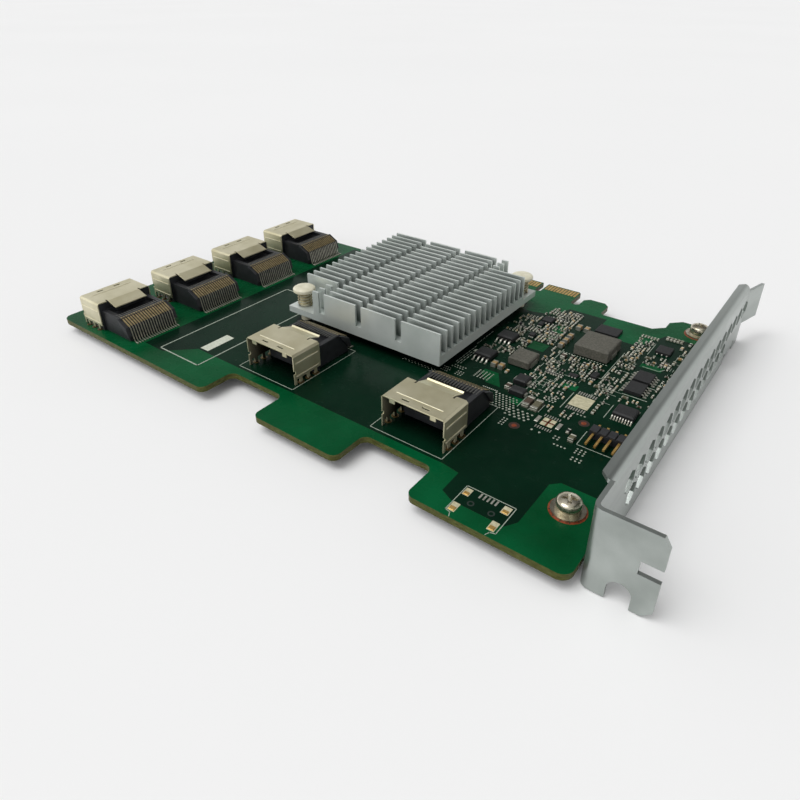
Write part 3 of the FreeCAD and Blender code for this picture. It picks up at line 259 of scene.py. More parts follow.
# Each look has a name, two colours, the size of its patches, a range of roughness and, for metals,
# how metallic it is. No metal's range crosses 0.27, where it would render with dark specks.
looks = {
    "board": board_look("solder_mask_painted_shade", "023619", "055c34", (0.22, 0.32)),
    "plane": board_look("mask_over_copper_painted_shade", "031a0f", "082b1b", (0.18, 0.28)),
    "silk": patchy("printed_line", "8b9688", "b0b8aa", 0.5, (0.5, 0.7), grain=0.08, relief=0.01),
    "bright_silk": patchy("printed_block", "b9bfae", "d5d9c9", 0.6, (0.5, 0.7), grain=0.08, relief=0.01),
    "gold": patchy("gold_plate", "ad8442", "d8b46c", 1.5, (0.29, 0.4), 0.7, relief=0.004),
    "bracket": patchy("satin_steel", "9aa09c", "b4bab6", 9, (0.29, 0.34), 0.88, grain=1.6, relief=0.002,
                      stretch=(1, 10, 1)),
    # The heatsink's channels between its fins are painted darker as shade
    "heatsink": patchy("satin_aluminium_painted_shade", "c6cec9", "dfe5e1", 11, (0.38, 0.45), 0.55, grain=1.2,
                       relief=0.002, stretch=(1, 6, 1), deep=PaintedGapShade("66706b", 3.5, 0.3, 0.72)),
    # The shells' insides and hollows are painted near black as shade
    "shell": patchy("warm_nickel_painted_shade", "bfb896", "d6d0b3", 7, (0.29, 0.34), 0.7, grain=2.4, relief=0.002,
                    edge=0.1, deep=PaintedGapShade("0e0d09", 20.0, 0.16, 0.36)),
    # The ribs are the shell's own nickel, painted paler as a highlight
    "rib": patchy("pressed_rib_painted_highlight", "dcd6bb", "ece7d0", 3, (0.29, 0.37), 0.4, grain=0.4, relief=0.003),
    "housing": patchy("black_plastic", "121316", "202226", 2, (0.42, 0.6), grain=0.12,
                      relief=0.012, edge=0.1),
    "beam": patchy("housing_comb", "2f302f", "4d4d49", 0.8, (0.35, 0.5)),
    "contact": patchy("contact_plate", "8a7a55", "b8a67c", 0.8, (0.29, 0.4), 0.7, grain=0.08, relief=0.004),
    "leg": patchy("contact_leg", "8f8d7f", "bdbbad", 0.8, (0.29, 0.38), 0.8, grain=0.08, relief=0.004),
    "screw": patchy("bright_nickel", "a39c88", "cdc7b6", 1.2, (0.14, 0.25), 0.95, relief=0.003),
    "package": patchy("moulding_compound", "0d0e0f", "1b1c1d", 0.6, (0.5, 0.68), grain=0.07, relief=0.01,
                      edge=0.06),
    "pad": patchy("soft_pad", "84858a", "9b9ca0", 1, (0.7, 0.85), grain=0.2, relief=0.02),
    "nylon": patchy("cream_nylon", "cbc7ad", "e0dcc6", 1.5, (0.36, 0.5), grain=0.2, relief=0.008),
    "spring": patchy("brass_wire", "7d7458", "b5ab88", 0.7, (0.29, 0.38), 0.9, grain=0.08, relief=0.003),
    "ferrite": patchy("iron_powder", "45443c", "605e54", 0.5, (0.62, 0.8), grain=0.09,
                      relief=0.03, edge=0.12),
    "tin": patchy("tin_plate", "a09f94", "cfcdc2", 0.6, (0.29, 0.37), 0.75),
    "chip_end": patchy("chip_plating", "838378", "bbbaae", 0.5, (0.29, 0.4), 0.75),
    "solder": patchy("dull_solder", "55543f", "7d7b64", 0.6, (0.35, 0.5), 0.6, relief=0.008),
    # The plated rings under the shell walls are painted dull dark brown as the shade they lie in
    "tail_ring": patchy("tail_plating_painted_shade", "40351c", "695733", 0.6, (0.3, 0.45), 0.6),
    "ceramic": patchy("tan_ceramic", "8a6e45", "ad8f5f", 0.4, (0.4, 0.55), grain=0.08),
    "grey_ceramic": patchy("olive_ceramic", "45432f", "646149", 0.4, (0.4, 0.55), grain=0.08),
    "brown_ceramic": patchy("brown_ceramic", "33261c", "4f3c2c", 0.5, (0.4, 0.55), grain=0.08),
    "halo": patchy("stained_mask", "1d130a", "3a2013", 0.9, (0.3, 0.45), grain=0.2, relief=0.004),
    "copper": patchy("bare_copper", "68260f", "9c4720", 0.8, (0.35, 0.5), 0.3),
    "bare_pad": patchy("tinned_pad", "b3ad8a", "d6d0b2", 0.8, (0.35, 0.5), 0.2, grain=0.12),
    "dot": patchy("solder_dot", "8f9587", "c3c7b9", 0.5, (0.3, 0.45), 0.4, grain=0.12, relief=0.01),
    # Holes are dark rings and discs on the board: painted shade in place of open holes
    "hole": patchy("painted_hole_shade", "0b1a14", "15291f", 0.5, (0.5, 0.7), relief=0.01),
}


# Shapes

SHARP_ANGLE = math.radians(35)

# A drop's outline, as shares of its radius and height
DROP_PROFILE = ((1.0, 0.0), (0.8, 0.6), (0.35, 1.0))


class Piece:
    """Closed shapes gathered into one object."""

    def __init__(self, name):
        self.name = name
        self.points = []
        self.faces = []
        self.marks = []
        self.materials = []

    def add(self, points, faces, look):
        material = looks[look]
        if material not in self.materials:
            self.materials.append(material)
        start = len(self.points)
        self.points += points
        self.faces += [[start + index for index in face] for face in faces]
        self.marks += [self.materials.index(material)] * len(faces)

    def stack(self, rings, look):
        """A closed shape through rings of equally many points, from the lowest up."""
        count = len(rings[0])
        last = count * (len(rings) - 1)
        faces = [list(range(count))[::-1]]
        for start in range(0, last, count):
            above = start + count
            for index in range(count):
                after = (index + 1) % count
                faces.append([start + index, start + after, above + after, above + index])
        faces.append(list(range(last, last + count)))
        self.add([point for ring in rings for point in ring], faces, look)

    def prism(self, outline, low, high, look):
        """An anticlockwise outline between two levels."""
        self.stack([[(x, y, z) for x, y in outline] for z in (low, high)], look)

    def block(self, x, y, width, depth, low, high, look, bevel=0.0):
        """A block, with bevelled upper edges if asked."""
        if not bevel:
            self.prism(rectangle(x, y, width, depth), low, high, look)
            return
        rings = []
        for inset, z in ((0, low), (0, high - bevel), (bevel, high)):
            outline = rectangle(x, y, width - 2 * inset, depth - 2 * inset)
            rings.append([(px, py, z) for px, py in outline])
        self.stack(rings, look)

    def turned(self, x, y, profile, look, sides=32):
        """A solid of revolution through radii and heights, from the lowest up."""
        self.stack([circle(x, y, radius, z, sides) for radius, z in profile], look)

    def ring(self, x, y, inner, outer, low, high, look, sides=24):
        """A flat ring."""
        loops = [(inner, low), (outer, low), (outer, high), (inner, high)]
        points = [point for radius, z in loops for point in circle(x, y, radius, z, sides)]
        faces = []
        for loop in range(len(loops)):
            here = loop * sides
            there = (loop + 1) % len(loops) * sides
            for index in range(sides):
                after = (index + 1) % sides
                faces.append([here + index, here + after, there + after, there + index])
        self.add(points, faces, look)

    def strip(self, start, end, width, low, high, look):
        """A straight line of some width, with square ends."""
        along = Vector(end) - Vector(start)
        along.normalize()
        reach = along * width / 2
        side = Vector((-along.y, along.x)) * width / 2
        first = Vector(start) - reach
        last = Vector(end) + reach
        outline = [first - side, last - side, last + side, first + side]
        self.prism([(point.x, point.y) for point in outline], low, high, look)

    def path(self, places, width, low, high, look):
        """Straight lines from place to place."""
        for start, end in zip(places, places[1:]):
            self.strip(start, end, width, low, high, look)

    def drop(self, x, y, radius, height, look, sides=12):
        """A low rounded drop on the board."""
        profile = [(radius * share, TOP + height * rise) for share, rise in DROP_PROFILE]
        self.turned(x, y, profile, look, sides)

    def tube(self, places, radius, look, sides=10):
        """A round wire through places, in rings square to its run and the card's height."""
        rings = []
        for place, run in runs(places):
            side = run.cross(Vector((0, 0, 1))).normalized()
            up = side.cross(run)
            rings.append([tuple(Vector(place) + (side * math.cos(turn) + up * math.sin(turn)) * radius)
                          for turn in turns(sides)])
        self.stack(rings, look)

    def ribbon(self, bends, spot, width, thick, look):
        """A strip of sheet bent along (distance, height) pairs, as thick all along."""
        half = width / 2
        rings = []
        for bend, run in runs(bends):
            outer = Vector(bend) + Vector((-run.y, run.x)) * thick
            corners = [(bend, -half), (bend, half), (outer, half), (outer, -half)]
            rings.append([(*spot(reach, across), level) for (reach, level), across in corners])
        self.stack(rings, look)

    def done(self, slot, smooth=False, replaces=()):
        """Make the object and let it ride on the card. Its slot argument is not used."""
        mesh = bpy.data.meshes.new(self.name)
        mesh.from_pydata([[value * MM for value in point] for point in self.points], [], self.faces)
        for material in self.materials:
            mesh.materials.append(material)
        mesh.polygons.foreach_set("material_index", self.marks)
        shape = bmesh.new()
        shape.from_mesh(mesh)
        bmesh.ops.recalc_face_normals(shape, faces=shape.faces)
        shape.to_mesh(mesh)
        shape.free()
        if smooth:
            mesh.polygons.foreach_set("use_smooth", [True] * len(mesh.polygons))
            mesh.set_sharp_from_angle(angle=SHARP_ANGLE)
        mesh.update()
        piece = bpy.data.objects.new(self.name, mesh)
        bpy.context.scene.collection.objects.link(piece)
        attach(piece, "root")
        if replaces:
            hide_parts(*replaces)


def runs(places):
    """Each place on a line of places, with the direction in which the line runs there."""
    for index, place in enumerate(places):
        before = Vector(places[max(index - 1, 0)])
        after = Vector(places[min(index + 1, len(places) - 1)])
        yield place, (after - before).normalized()


def rectangle(x, y, width, depth):
    half = width / 2
    deep = depth / 2
    return [(x - half, y - deep), (x + half, y - deep), (x + half, y + deep), (x - half, y + deep)]


def turns(count):
    """Equal turns round a circle."""
    return [2 * math.pi * index / count for index in range(count)]


def circle(x, y, radius, z, sides):
    return [(x + radius * math.cos(turn), y + radius * math.sin(turn), z) for turn in turns(sides)]


def middle(name):
    """Middle of a CAD node's box."""
    low, high = node_box(name)
    return [(a + b) / 2 for a, b in zip(low, high)]


# CAD pieces keep their shapes and take their finish
for row in frame["record"]["subparts"]:
    slots = nodes[row["node"]].data.materials
    slots.clear()
    slots.append(looks[row["material_slot"]])


# Thicknesses of what lies on the board
PLANE = 0.012
PAD = 0.035
SILK = 0.045

# Ports, with the ribs and tails of a shell in its own frame
PORTS = ["front_left", "front_right", "first_side", "second_side", "third_side", "fourth_side"]
SHELL_WIDTH = 17.05
SHELL_HEIGHT = 8.49
RIB_WIDTH = 0.25
RIB_RISE = 0.12
RIB_BEVEL = 0.06
ROOF_RIB_LENGTH = 12.6
ROOF_RIB_PLACE = 2.85
SIDE_RIB_LEVELS = (2.2, 5.9)
SIDE_RIB_START = 0.7
SIDE_RIB_END = 8.7
TAIL_OFFSET = 8.375
TAIL_PLACES = (2.2, 4.9, 7.6)
TAIL_PAD_RADII = (0.55, 0.95)
TAIL_FILLET_RADII = (0.5, 0.68)
TAIL_FILLET_HEIGHT = 0.22

# Solder on a tail's tip: radii, and depths below the board
TAIL_SOLDER = [(0.3, 0.55), (0.5, 0.3), (0.9, PAD), (0.9, 0)]

# A contact's beam down the housing's back and its leg to the board, and the housing's comb and back:
# distances from the mouth and heights above the board
CONTACT_COUNT = 18
CONTACT_PITCH = 0.8
CONTACT_THICK = 0.13
COMB = [(15.6, 6.2), (18.0, 6.2)]
COMB_WIDTH = 0.4
COMB_THICK = 0.1
BEAM_BENDS = [(17.9, 6.22), (18.3, 6.12), (21.5, 4.45)]
BEAM_WIDTH = 0.42
LEG_BENDS = [(21.35, 4.52), (21.75, 4.1), (22.3, 1.6), (22.6, 0.5), (22.9, 0.12), (24.0, 0.05)]
LEG_WIDTH = 0.26
BACK = [(17.8, 6.15), (18.25, 6.0), (21.4, 4.3), (22.1, 1.6), (21.4, 1.5), (18.6, 5.0)]

# Pad and solder under a contact's foot
FOOT_PAD_PLACE = 23.6
FOOT_PAD = (0.42, 1.5)
FOOT_SOLDER_PLACE = 23.75
FOOT_SOLDER = (0.38, 0.8)
FOOT_SOLDER_HEIGHT = 0.24
FOOT_SOLDER_BEVEL = 0.1


class Port:
    """A port's own frame: the middle of its mouth, with +y running into the port."""

    def __init__(self, name):
        self.sideways = name.endswith("side")
        low, high = node_box(f"{name}_port_shell")
        near, far = node_box(f"{name}_port_housing")
        if self.sideways:
            self.x = low[0]
            self.y = (low[1] + high[1]) / 2
            self.housing_width = far[1] - near[1]
        else:
            self.x = (low[0] + high[0]) / 2
            self.y = low[1]
            self.housing_width = far[0] - near[0]

    def at(self, x, y):
        """A point of the port's frame, in the card's."""
        if self.sideways:
            return self.x + y, self.y - x
        return self.x + x, self.y + y

    def size(self, width, depth):
        return (depth, width) if self.sideways else (width, depth)

    def line(self, x):
        """Places along a line into the port, by their distance and their offset from it."""
        return lambda reach, across: self.at(x + across, reach)


ports = [Port(name) for name in PORTS]


def raised(bends):
    """Bends above the board, as bends in the card's frame."""
    return [(reach, TOP + level) for reach, level in bends]


def add_shell_ribs(ribs, port):
    """Ribs pressed in a shell's roof and side walls, in a paler copy of the shell's nickel that paints
    their highlight.
    """
    roof = TOP + SHELL_HEIGHT
    size = port.size(ROOF_RIB_LENGTH, RIB_WIDTH)
    ribs.block(*port.at(0, ROOF_RIB_PLACE), *size, roof, roof + RIB_RISE, "rib", bevel=RIB_BEVEL)
    length = SIDE_RIB_END - SIDE_RIB_START
    for side in (-1, 1):
        spot = port.at(side * (SHELL_WIDTH / 2 + RIB_RISE / 2), SIDE_RIB_START + length / 2)
        for level in SIDE_RIB_LEVELS:
            low = TOP + level
            ribs.block(*spot, *port.size(RIB_RISE, length), low, low + RIB_WIDTH, "rib")


def add_tail_rings(rings, port):
    """Plated rings round a shell's tails, painted dark as the shade under the shell's walls, and the solder
    on their tips under the board.
    """
    solder = [(radius, UNDER - drop) for radius, drop in TAIL_SOLDER]
    for side in (-1, 1):
        for place in TAIL_PLACES:
            spot = port.at(side * TAIL_OFFSET, place)
            rings.ring(*spot, *TAIL_PAD_RADII, TOP, TOP + PAD, "tail_ring")
            rings.ring(*spot, *TAIL_FILLET_RADII, TOP, TOP + TAIL_FILLET_HEIGHT, "tail_ring")
            rings.turned(*spot, solder, "tin", sides=20)


def add_contacts(backs, contacts, feet, port):
    """A housing's back with its comb, and the row of formed contacts on it."""
    half = port.housing_width / 2
    backs.stack([[(*port.at(side * half, reach), level) for reach, level in raised(BACK)]
                 for side in (-1, 1)], "housing")
    for index in range(CONTACT_COUNT):
        x = CONTACT_PITCH * (index - (CONTACT_COUNT - 1) / 2)
        spot = port.line(x)
        backs.ribbon(raised(COMB), spot, COMB_WIDTH, COMB_THICK, "beam")
        contacts.ribbon(raised(BEAM_BENDS), spot, BEAM_WIDTH, CONTACT_THICK, "contact")
        contacts.ribbon(raised(LEG_BENDS), spot, LEG_WIDTH, CONTACT_THICK, "leg")
        low = TOP + PAD
        feet.block(*port.at(x, FOOT_PAD_PLACE), *port.size(*FOOT_PAD), TOP, low, "solder")
        feet.block(*port.at(x, FOOT_SOLDER_PLACE), *port.size(*FOOT_SOLDER),
                   low, TOP + FOOT_SOLDER_HEIGHT, "tin", bevel=FOOT_SOLDER_BEVEL)


def make_port_details():
    """Ribs on the shells, rings round their tails, and formed contacts over the housings' backs."""
    ribs = Piece("port_shell_ribs")
    rings = Piece("port_tail_rings")
    backs = Piece("port_housing_backs")
    contacts = Piece("port_contacts_formed")
    feet = Piece("port_contact_pads")
    for port in ports:
        add_shell_ribs(ribs, port)
        add_tail_rings(rings, port)
        add_contacts(backs, contacts, feet, port)
    ribs.done("shell")
    rings.done("tin", smooth=True)
    backs.done("housing")
    contacts.done("contact", replaces=[f"{name}_port_contacts" for name in PORTS])
    feet.done("tin")


# Bracket screws: cross recess, thread and crowned head
SCREWS = ("front_screw", "rear_screw")
SCREW_SIDES = 72
RECESS_DEPTH = 1.05
RECESS_REACH = 1.45
RECESS_ARM = 0.72
RECESS_TURN = math.radians(24)
RECESS_WALL = 0.1
RECESS_END = 0.2
RECESS_TAPER = 0.55
THREAD_PITCH = 0.5
THREAD_CREST = 1.45
THREAD_ROOT = 1.2
TIP_SHARE = 0.8
HEAD_UNDERSIDE_SHARE = 0.96
HEAD_EDGE = 0.1
HEAD_DOME = 0.85

# Rings of the crown: insets from the head's rim, then equal steps to the middle
CROWN_INSETS = (0.02, 0.1, 0.3, 0.6)
CROWN_INNER = 1.6
CROWN_STEP = 0.1
CROWN_RINGS = 16


def recess_depth(radius, turn):
    """How deep the cross recess lies at a place on the head."""
    across = abs(radius * math.cos(turn - RECESS_TURN))
    along = abs(radius * math.sin(turn - RECESS_TURN))
    if across > along:
        across, along = along, across
    wall = min(max((RECESS_ARM / 2 - across) / RECESS_WALL, 0), 1)
    end = min(max((RECESS_REACH - along) / RECESS_END, 0), 1)
    return RECESS_DEPTH * (1 - RECESS_TAPER * along / RECESS_REACH) * wall * end


def make_screws():
    """Pan-head screws with a cross recess and a threaded shank."""
    seat = node_box("lock_washers")[1][2]
    for name in SCREWS:
        low, high = node_box(name)
        x, y, _ = middle(name)
        head = (high[0] - low[0]) / 2
        profile = [(THREAD_ROOT * TIP_SHARE, low[2])]
        level = low[2] + THREAD_PITCH / 2
        crest = False
        while level < seat - THREAD_PITCH / 2:
            profile.append((THREAD_CREST if crest else THREAD_ROOT, level))
            crest = not crest
            level += THREAD_PITCH / 2
        profile += [(THREAD_ROOT, seat), (head * HEAD_UNDERSIDE_SHARE, seat), (head, seat + HEAD_EDGE)]
        rings = [circle(x, y, radius, z, SCREW_SIDES) for radius, z in profile]

        radii = [head - inset for inset in CROWN_INSETS]
        radii += [CROWN_INNER - CROWN_STEP * step for step in range(CROWN_RINGS)]
        for radius in radii:
            crown = high[2] - HEAD_DOME * (1 - math.sqrt(1 - (radius / head) ** 2))
            ring = []
            for turn in turns(SCREW_SIDES):
                z = crown - recess_depth(radius, turn)
                ring.append((x + radius * math.cos(turn), y + radius * math.sin(turn), z))
            rings.append(ring)
        piece = Piece(f"{name}_formed")
        piece.stack(rings, "screw")
        piece.done("screw", smooth=True, replaces=[name])


# Push pins: the head's wall and crown as shares of its size, then the barbs and the spring's coil
PIN_SHAFT = 1.5
PIN_SIDES = 48
PIN_UNDERSIDE_SHARE = 0.97
PIN_EDGE_SHARE = 0.08
PIN_WALL_SHARE = 0.45
PIN_CROWN_STEPS = 12
PIN_CROWN_POWER = 0.6
PIN_CROWN_END = 0.06
BARB_WIDTH = 4.0
BARB_THICK = 1.6
BARB_TIP = 1.8
BARB_ROOT = 2.4
BARB_SLOT = 0.5
BARB_LOW_SHARE = 0.4
BARB_HIGH_SHARE = 0.28
COIL_TURNS = 4.5
COIL_WIRE = 0.22
COIL_STEPS = 190


def make_push_pin(name, seat):
    """A domed push pin with split barbs under the board, and its head on a seat."""
    low, high = node_box(name)
    x, y, _ = middle(name)
    head = (high[0] - low[0]) / 2
    rise = high[2] - seat
    pin = Piece(f"{name}_formed")
    profile = [
        (PIN_SHAFT, UNDER), (PIN_SHAFT, seat), (head * PIN_UNDERSIDE_SHARE, seat),
        (head, seat + rise * PIN_EDGE_SHARE), (head, seat + rise * PIN_WALL_SHARE),
    ]
    for step in range(1, PIN_CROWN_STEPS):
        turn = math.pi / 2 * step / PIN_CROWN_STEPS
        level = seat + rise * (PIN_WALL_SHARE + (1 - PIN_WALL_SHARE) * math.sin(turn))
        profile.append((head * math.cos(turn) ** PIN_CROWN_POWER, level))
    profile.append((head * PIN_CROWN_END, high[2]))
    pin.turned(x, y, profile, "nylon", sides=PIN_SIDES)

    barb = [
        (BARB_TIP, low[2]), (BARB_WIDTH, low[2] * BARB_LOW_SHARE),
        (BARB_WIDTH, low[2] * BARB_HIGH_SHARE), (BARB_ROOT, UNDER),
    ]
    near = BARB_SLOT / 2
    for side in (-1, 1):
        rings = []
        for width, level in barb:
            far = width / 2
            outline = rectangle(x + side * (near + far) / 2, y, far - near, BARB_THICK)
            rings.append([(px, py, level) for px, py in outline])
        pin.stack(rings, "nylon")
    pin.done("nylon", smooth=True, replaces=[name])


def make_pin_spring(name, x, y):
    """A coil of round wire about a pin."""
    low, high = node_box(name)
    radius = (high[0] - low[0]) / 2 - COIL_WIRE
    first = low[2] + COIL_WIRE
    last = high[2] - COIL_WIRE
    places = []
    for step in range(COIL_STEPS + 1):
        turn = 2 * math.pi * COIL_TURNS * step / COIL_STEPS
        level = first + (last - first) * step / COIL_STEPS
        places.append((x + radius * math.cos(turn), y + radius * math.sin(turn), level))
    spring = Piece(f"{name}_formed")
    spring.tube(places, COIL_WIRE, "spring")
    spring.done("spring", smooth=True, replaces=[name])


def make_push_pins():
    for end in ("front", "rear"):
        pin = f"{end}_push_pin"
        spring = f"{end}_pin_spring"
        x, y, _ = middle(pin)
        make_push_pin(pin, seat=node_box(spring)[1][2])
        make_pin_spring(spring, x, y)


# Gull-wing leads: (count, pitch, width, reach) of each package's rows
TRANSISTOR_LEADS = (4, 1.27, 0.4, 1.9)
CONTROLLER_LEADS = (8, 0.65, 0.24, 1.0)
MEMORY_LEADS = (4, 1.27, 0.42, 1.0)
LEAD_THICK = 0.16
LEAD_LEVEL = 0.68
LEAD_FOOT = 0.65
LEAD_FOOT_SHARE = 0.45
LEAD_PAD_LENGTH = 0.85
LEAD_PAD_MARGIN = 0.14
LEAD_PAD_INSET = 0.2

# A lead's slope: shares of its run and height, and its heel's rise above the pad
SHOULDER = 0.45
BEND = 0.62
BEND_HEIGHT = 0.9
HEEL = 0.9
HEEL_RISE = 0.1


def wing(reach):
    """A lead's bends, as distances from the package's side and heights."""
    rise = LEAD_LEVEL - LEAD_THICK
    foot = min(LEAD_FOOT, reach * LEAD_FOOT_SHARE)
    slope = reach - foot
    return [
        (0.0, TOP + rise), (slope * SHOULDER, TOP + rise), (slope * BEND, TOP + rise * BEND_HEIGHT),
        (slope * HEEL, TOP + PAD + HEEL_RISE), (slope, TOP + PAD), (reach, TOP + PAD),
    ]


def lead_line(x, y, side_x, side_y):
    """Places along a lead from a package's side, by their distance and their offset from it."""
    return lambda reach, across: (x + side_x * reach + abs(side_y) * across,
                                  y + side_y * reach + abs(side_x) * across)


def add_leads(piece, pads, name, sides, count, pitch, width, reach):
    """Rows of leads on the given sides of a package, on tinned pads."""
    low, high = node_box(name)
    x, y, _ = middle(name)
    for side_x, side_y in sides:
        pad_width = width + LEAD_PAD_MARGIN
        pad_size = (pad_width, LEAD_PAD_LENGTH) if side_y else (LEAD_PAD_LENGTH, pad_width)
        for index in range(count):
            shift = pitch * (index - (count - 1) / 2)
            if side_y:
                start = (x + shift, high[1] if side_y > 0 else low[1])
            else:
                start = (high[0] if side_x > 0 else low[0], y + shift)
            spot = lead_line(*start, side_x, side_y)
            piece.ribbon(wing(reach), spot, width, LEAD_THICK, "tin")
            pads.block(*spot(reach - LEAD_PAD_INSET, 0), *pad_size, TOP, TOP + PAD, "tin")


def make_leads():
    """Formed leads of the small packages, on tinned pads."""
    leads = Piece("chip_leads_formed")
    extra = Piece("memory_chip_leads")
    pads = Piece("chip_lead_pads")
    front_rear = ((0, -1), (0, 1))
    left_right = ((-1, 0), (1, 0))
    add_leads(leads, pads, "rear_transistor", front_rear, *TRANSISTOR_LEADS)
    add_leads(leads, pads, "front_transistor", front_rear, *TRANSISTOR_LEADS)
    add_leads(leads, pads, "controller_chip", front_rear, *CONTROLLER_LEADS)
    add_leads(extra, pads, "rear_memory_chip", left_right, *MEMORY_LEADS)
    add_leads(extra, pads, "front_memory_chip", left_right, *MEMORY_LEADS)
    leads.done("tin", replaces=["chip_leads"])
    extra.done("tin")
    pads.done("tin")


# Copper under the mask: its front and rear outline, and clear windows in it
PLANE_FRONT = [
    (-72.5, -105.4), (-64.5, -105.4), (-57.5, -98.7), (24.2, -98.7), (28.4, -99.3), (28.6, -105.6),
    (31.6, -107.0), (43.4, -107.0), (45.0, -104.5), (45.0, -91.2), (46.8, -89.4), (57.4, -89.4),
]
PLANE_REAR = [
    (57.4, -13.5), (44.0, -13.5), (40.5, -22.0), (38.0, -24.0), (26.5, -24.0), (26.5, -13.6),
    (14.5, -13.6), (12.5, -20.0), (6.0, -22.0), (2.0, -22.0), (2.0, -17.5), (-49.0, -17.5),
    (-51.0, -14.6), (-72.5, -14.6),
]
WINDOWS = [
    [(11.6, -60.0), (15.6, -60.0), (19.2, -65.6), (15.0, -65.6), (11.6, -62.0)],
    [(16.4, -36.0), (19.4, -36.0), (19.4, -27.0), (17.4, -24.5), (16.4, -26.0)],
    [(43.6, -34.6), (49.2, -34.6), (49.2, -31.6), (43.6, -31.6)],
    [(31.4, -56.0), (35.0, -56.0), (35.0, -53.4), (31.4, -53.4)],
    [(15.0, -43.0), (19.8, -43.0), (19.8, -38.6), (15.0, -38.6)],
    [(24.0, -70.0), (26.6, -70.0), (26.6, -67.2), (24.0, -67.2)],
]


def make_planes():
    """Mask that looks darker where copper fills the layer below, with clear green windows in it."""
    plane = Piece("copper_planes")
    plane.prism(PLANE_FRONT + PLANE_REAR, TOP, TOP + PLANE, "plane")
    for outline in WINDOWS:
        plane.prism(outline, TOP + PLANE, TOP + 2 * PLANE, "board")
    plane.done("board")


# Printed lines: widths, and the frames of a front port and of the label's field
THIN_LINE = 0.1
LINE = 0.16
THICK_LINE = 0.2
BAR = 0.22
FRAME_LINE = 0.34
PORT_FRAME = [(-10.44, -1.88), (9.33, -1.88), (9.33, 22.33), (-10.44, 22.33), (-10.44, -1.88)]
FIELD_FRAME = [(-66.6, -55.8), (-66.6, -104.5), (-50.4, -104.5), (-50.4, -55.8), (-66.6, -55.8)]
FIELD_BLOCK = (-55.85, -93.3, 3.1, 9.3)
PRINTED_DOT = (4.9, -53.2)
PRINTED_DOT_RADIUS = 0.75

# Broken lines beside the heatsink: x, first y and count of dashes
BROKEN_LINES = [(2.9, -49.6, 6), (3.5, -61.5, 7), (4.2, -62.0, 6), (4.9, -61.6, 5)]
DASH = 1.0
DASH_PITCH = 1.6

# Width and corners of the other lines
PRINTED_LINES = [
    # Empty connector at the front edge
    (LINE, [(32.0, -109.6), (32.0, -101.5), (43.1, -101.5), (43.1, -109.6)]),
    (LINE, [(32.0, -109.6), (33.2, -109.9), (33.6, -110.9)]),
    (LINE, [(43.1, -109.6), (42.0, -109.9), (41.6, -110.9)]),
    # Header
    (LINE, [(44.0, -69.9), (44.0, -75.7), (53.0, -75.7)]),
    # Chips and power parts
    (LINE, [(35.0, -64.6), (35.0, -56.8)]),
    (LINE, [(44.9, -62.4), (44.9, -56.2)]),
    (BAR, [(44.8, -49.9), (50.7, -49.9)]),
    (THICK_LINE, [(49.4, -43.6), (51.2, -43.6)]),
    (LINE, [(38.0, -30.0), (38.0, -46.6), (36.4, -46.6)]),
    (LINE, [(23.9, -38.2), (23.9, -46.4)]),
    (LINE, [(22.7, -56.4), (22.7, -48.2)]),
    (LINE, [(24.8, -62.5), (24.8, -53.8)]),
    (LINE, [(29.0, -53.0), (29.0, -60.0)]),
    (LINE, [(26.6, -64.9), (26.6, -70.4)]),
    (LINE, [(29.35, -65.2), (29.35, -70.2)]),
    (LINE, [(31.7, -66.0), (31.7, -69.6)]),
    (LINE, [(40.0, -21.6), (40.0, -30.0)]),
    (LINE, [(43.2, -20.4), (43.2, -27.0)]),
    (LINE, [(44.4, -34.2), (48.6, -34.2), (49.6, -32.6)]),
]

# Short lines are strewn over the crowded fields: left, front, right and rear of each
SILK_FIELDS = [
    (10.4, -37.0, 20.2, -16.0), (38.8, -40.0, 43.2, -19.0), (24.4, -53.0, 36.0, -43.0),
    (24.4, -61.0, 29.0, -54.0), (50.4, -50.0, 55.0, -20.0), (38.4, -58.0, 43.6, -49.0),
]
SHORT_LINE_COUNT = 150
SHORT_LINE_LENGTHS = (1.0, 1.4, 1.9)
UPRIGHT_LINE_SHARE = 0.75
SHORT_LINE_SEED = 7


def make_silk():
    """White printed outlines, without lettering."""
    silk = Piece("printed_lines")
    high = TOP + SILK

    def line(places, width=LINE):
        silk.path(places, width, TOP, high, "silk")

    for port in ports[:2]:
        line([port.at(*corner) for corner in PORT_FRAME])
    line(FIELD_FRAME, FRAME_LINE)
    silk.block(*FIELD_BLOCK, TOP, high, "bright_silk")
    for x, front, count in BROKEN_LINES:
        for index in range(count):
            y = front + DASH_PITCH * index
            line([(x, y), (x, y + DASH)])
    for width, corners in PRINTED_LINES:
        line(corners, width)
    dot = [(PRINTED_DOT_RADIUS, TOP), (PRINTED_DOT_RADIUS, high)]
    silk.turned(*PRINTED_DOT, dot, "bright_silk", sides=20)

    draw = random.Random(SHORT_LINE_SEED)
    for _ in range(SHORT_LINE_COUNT):
        left, front, right, rear = draw.choice(SILK_FIELDS)
        x = draw.uniform(left, right)
        y = draw.uniform(front, rear)
        length = draw.choice(SHORT_LINE_LENGTHS)
        end = (x, y + length) if draw.random() < UPRIGHT_LINE_SHARE else (x + length, y)
        line([(x, y), end], THIN_LINE)
    silk.done("pad")


# Two-ended chip parts: length, width and height, and the finishes of their bodies
PASSIVE_SIZES = {
    "small": (0.95, 0.44, 0.34),
    "medium": (1.45, 0.7, 0.48),
    "large": (2.0, 1.25, 0.9),
    "long": (4.1, 1.7, 0.95),
}
FINISHES = ["package", "package", "grey_ceramic", "grey_ceramic", "ceramic", "brown_ceramic"]
BODY_BEVEL = 0.05
END_SHARE = 0.19
END_OVERLAP = 0.03
END_RISE = 0.02
END_BEVEL = 0.06
FILLET = 0.08
FILLET_BEVEL = 0.07
PART_PAD_MARGIN = 0.1
PART_MARGIN = 0.16
PART_GAP = 0.12
ALIGNED_SHARE = 0.8


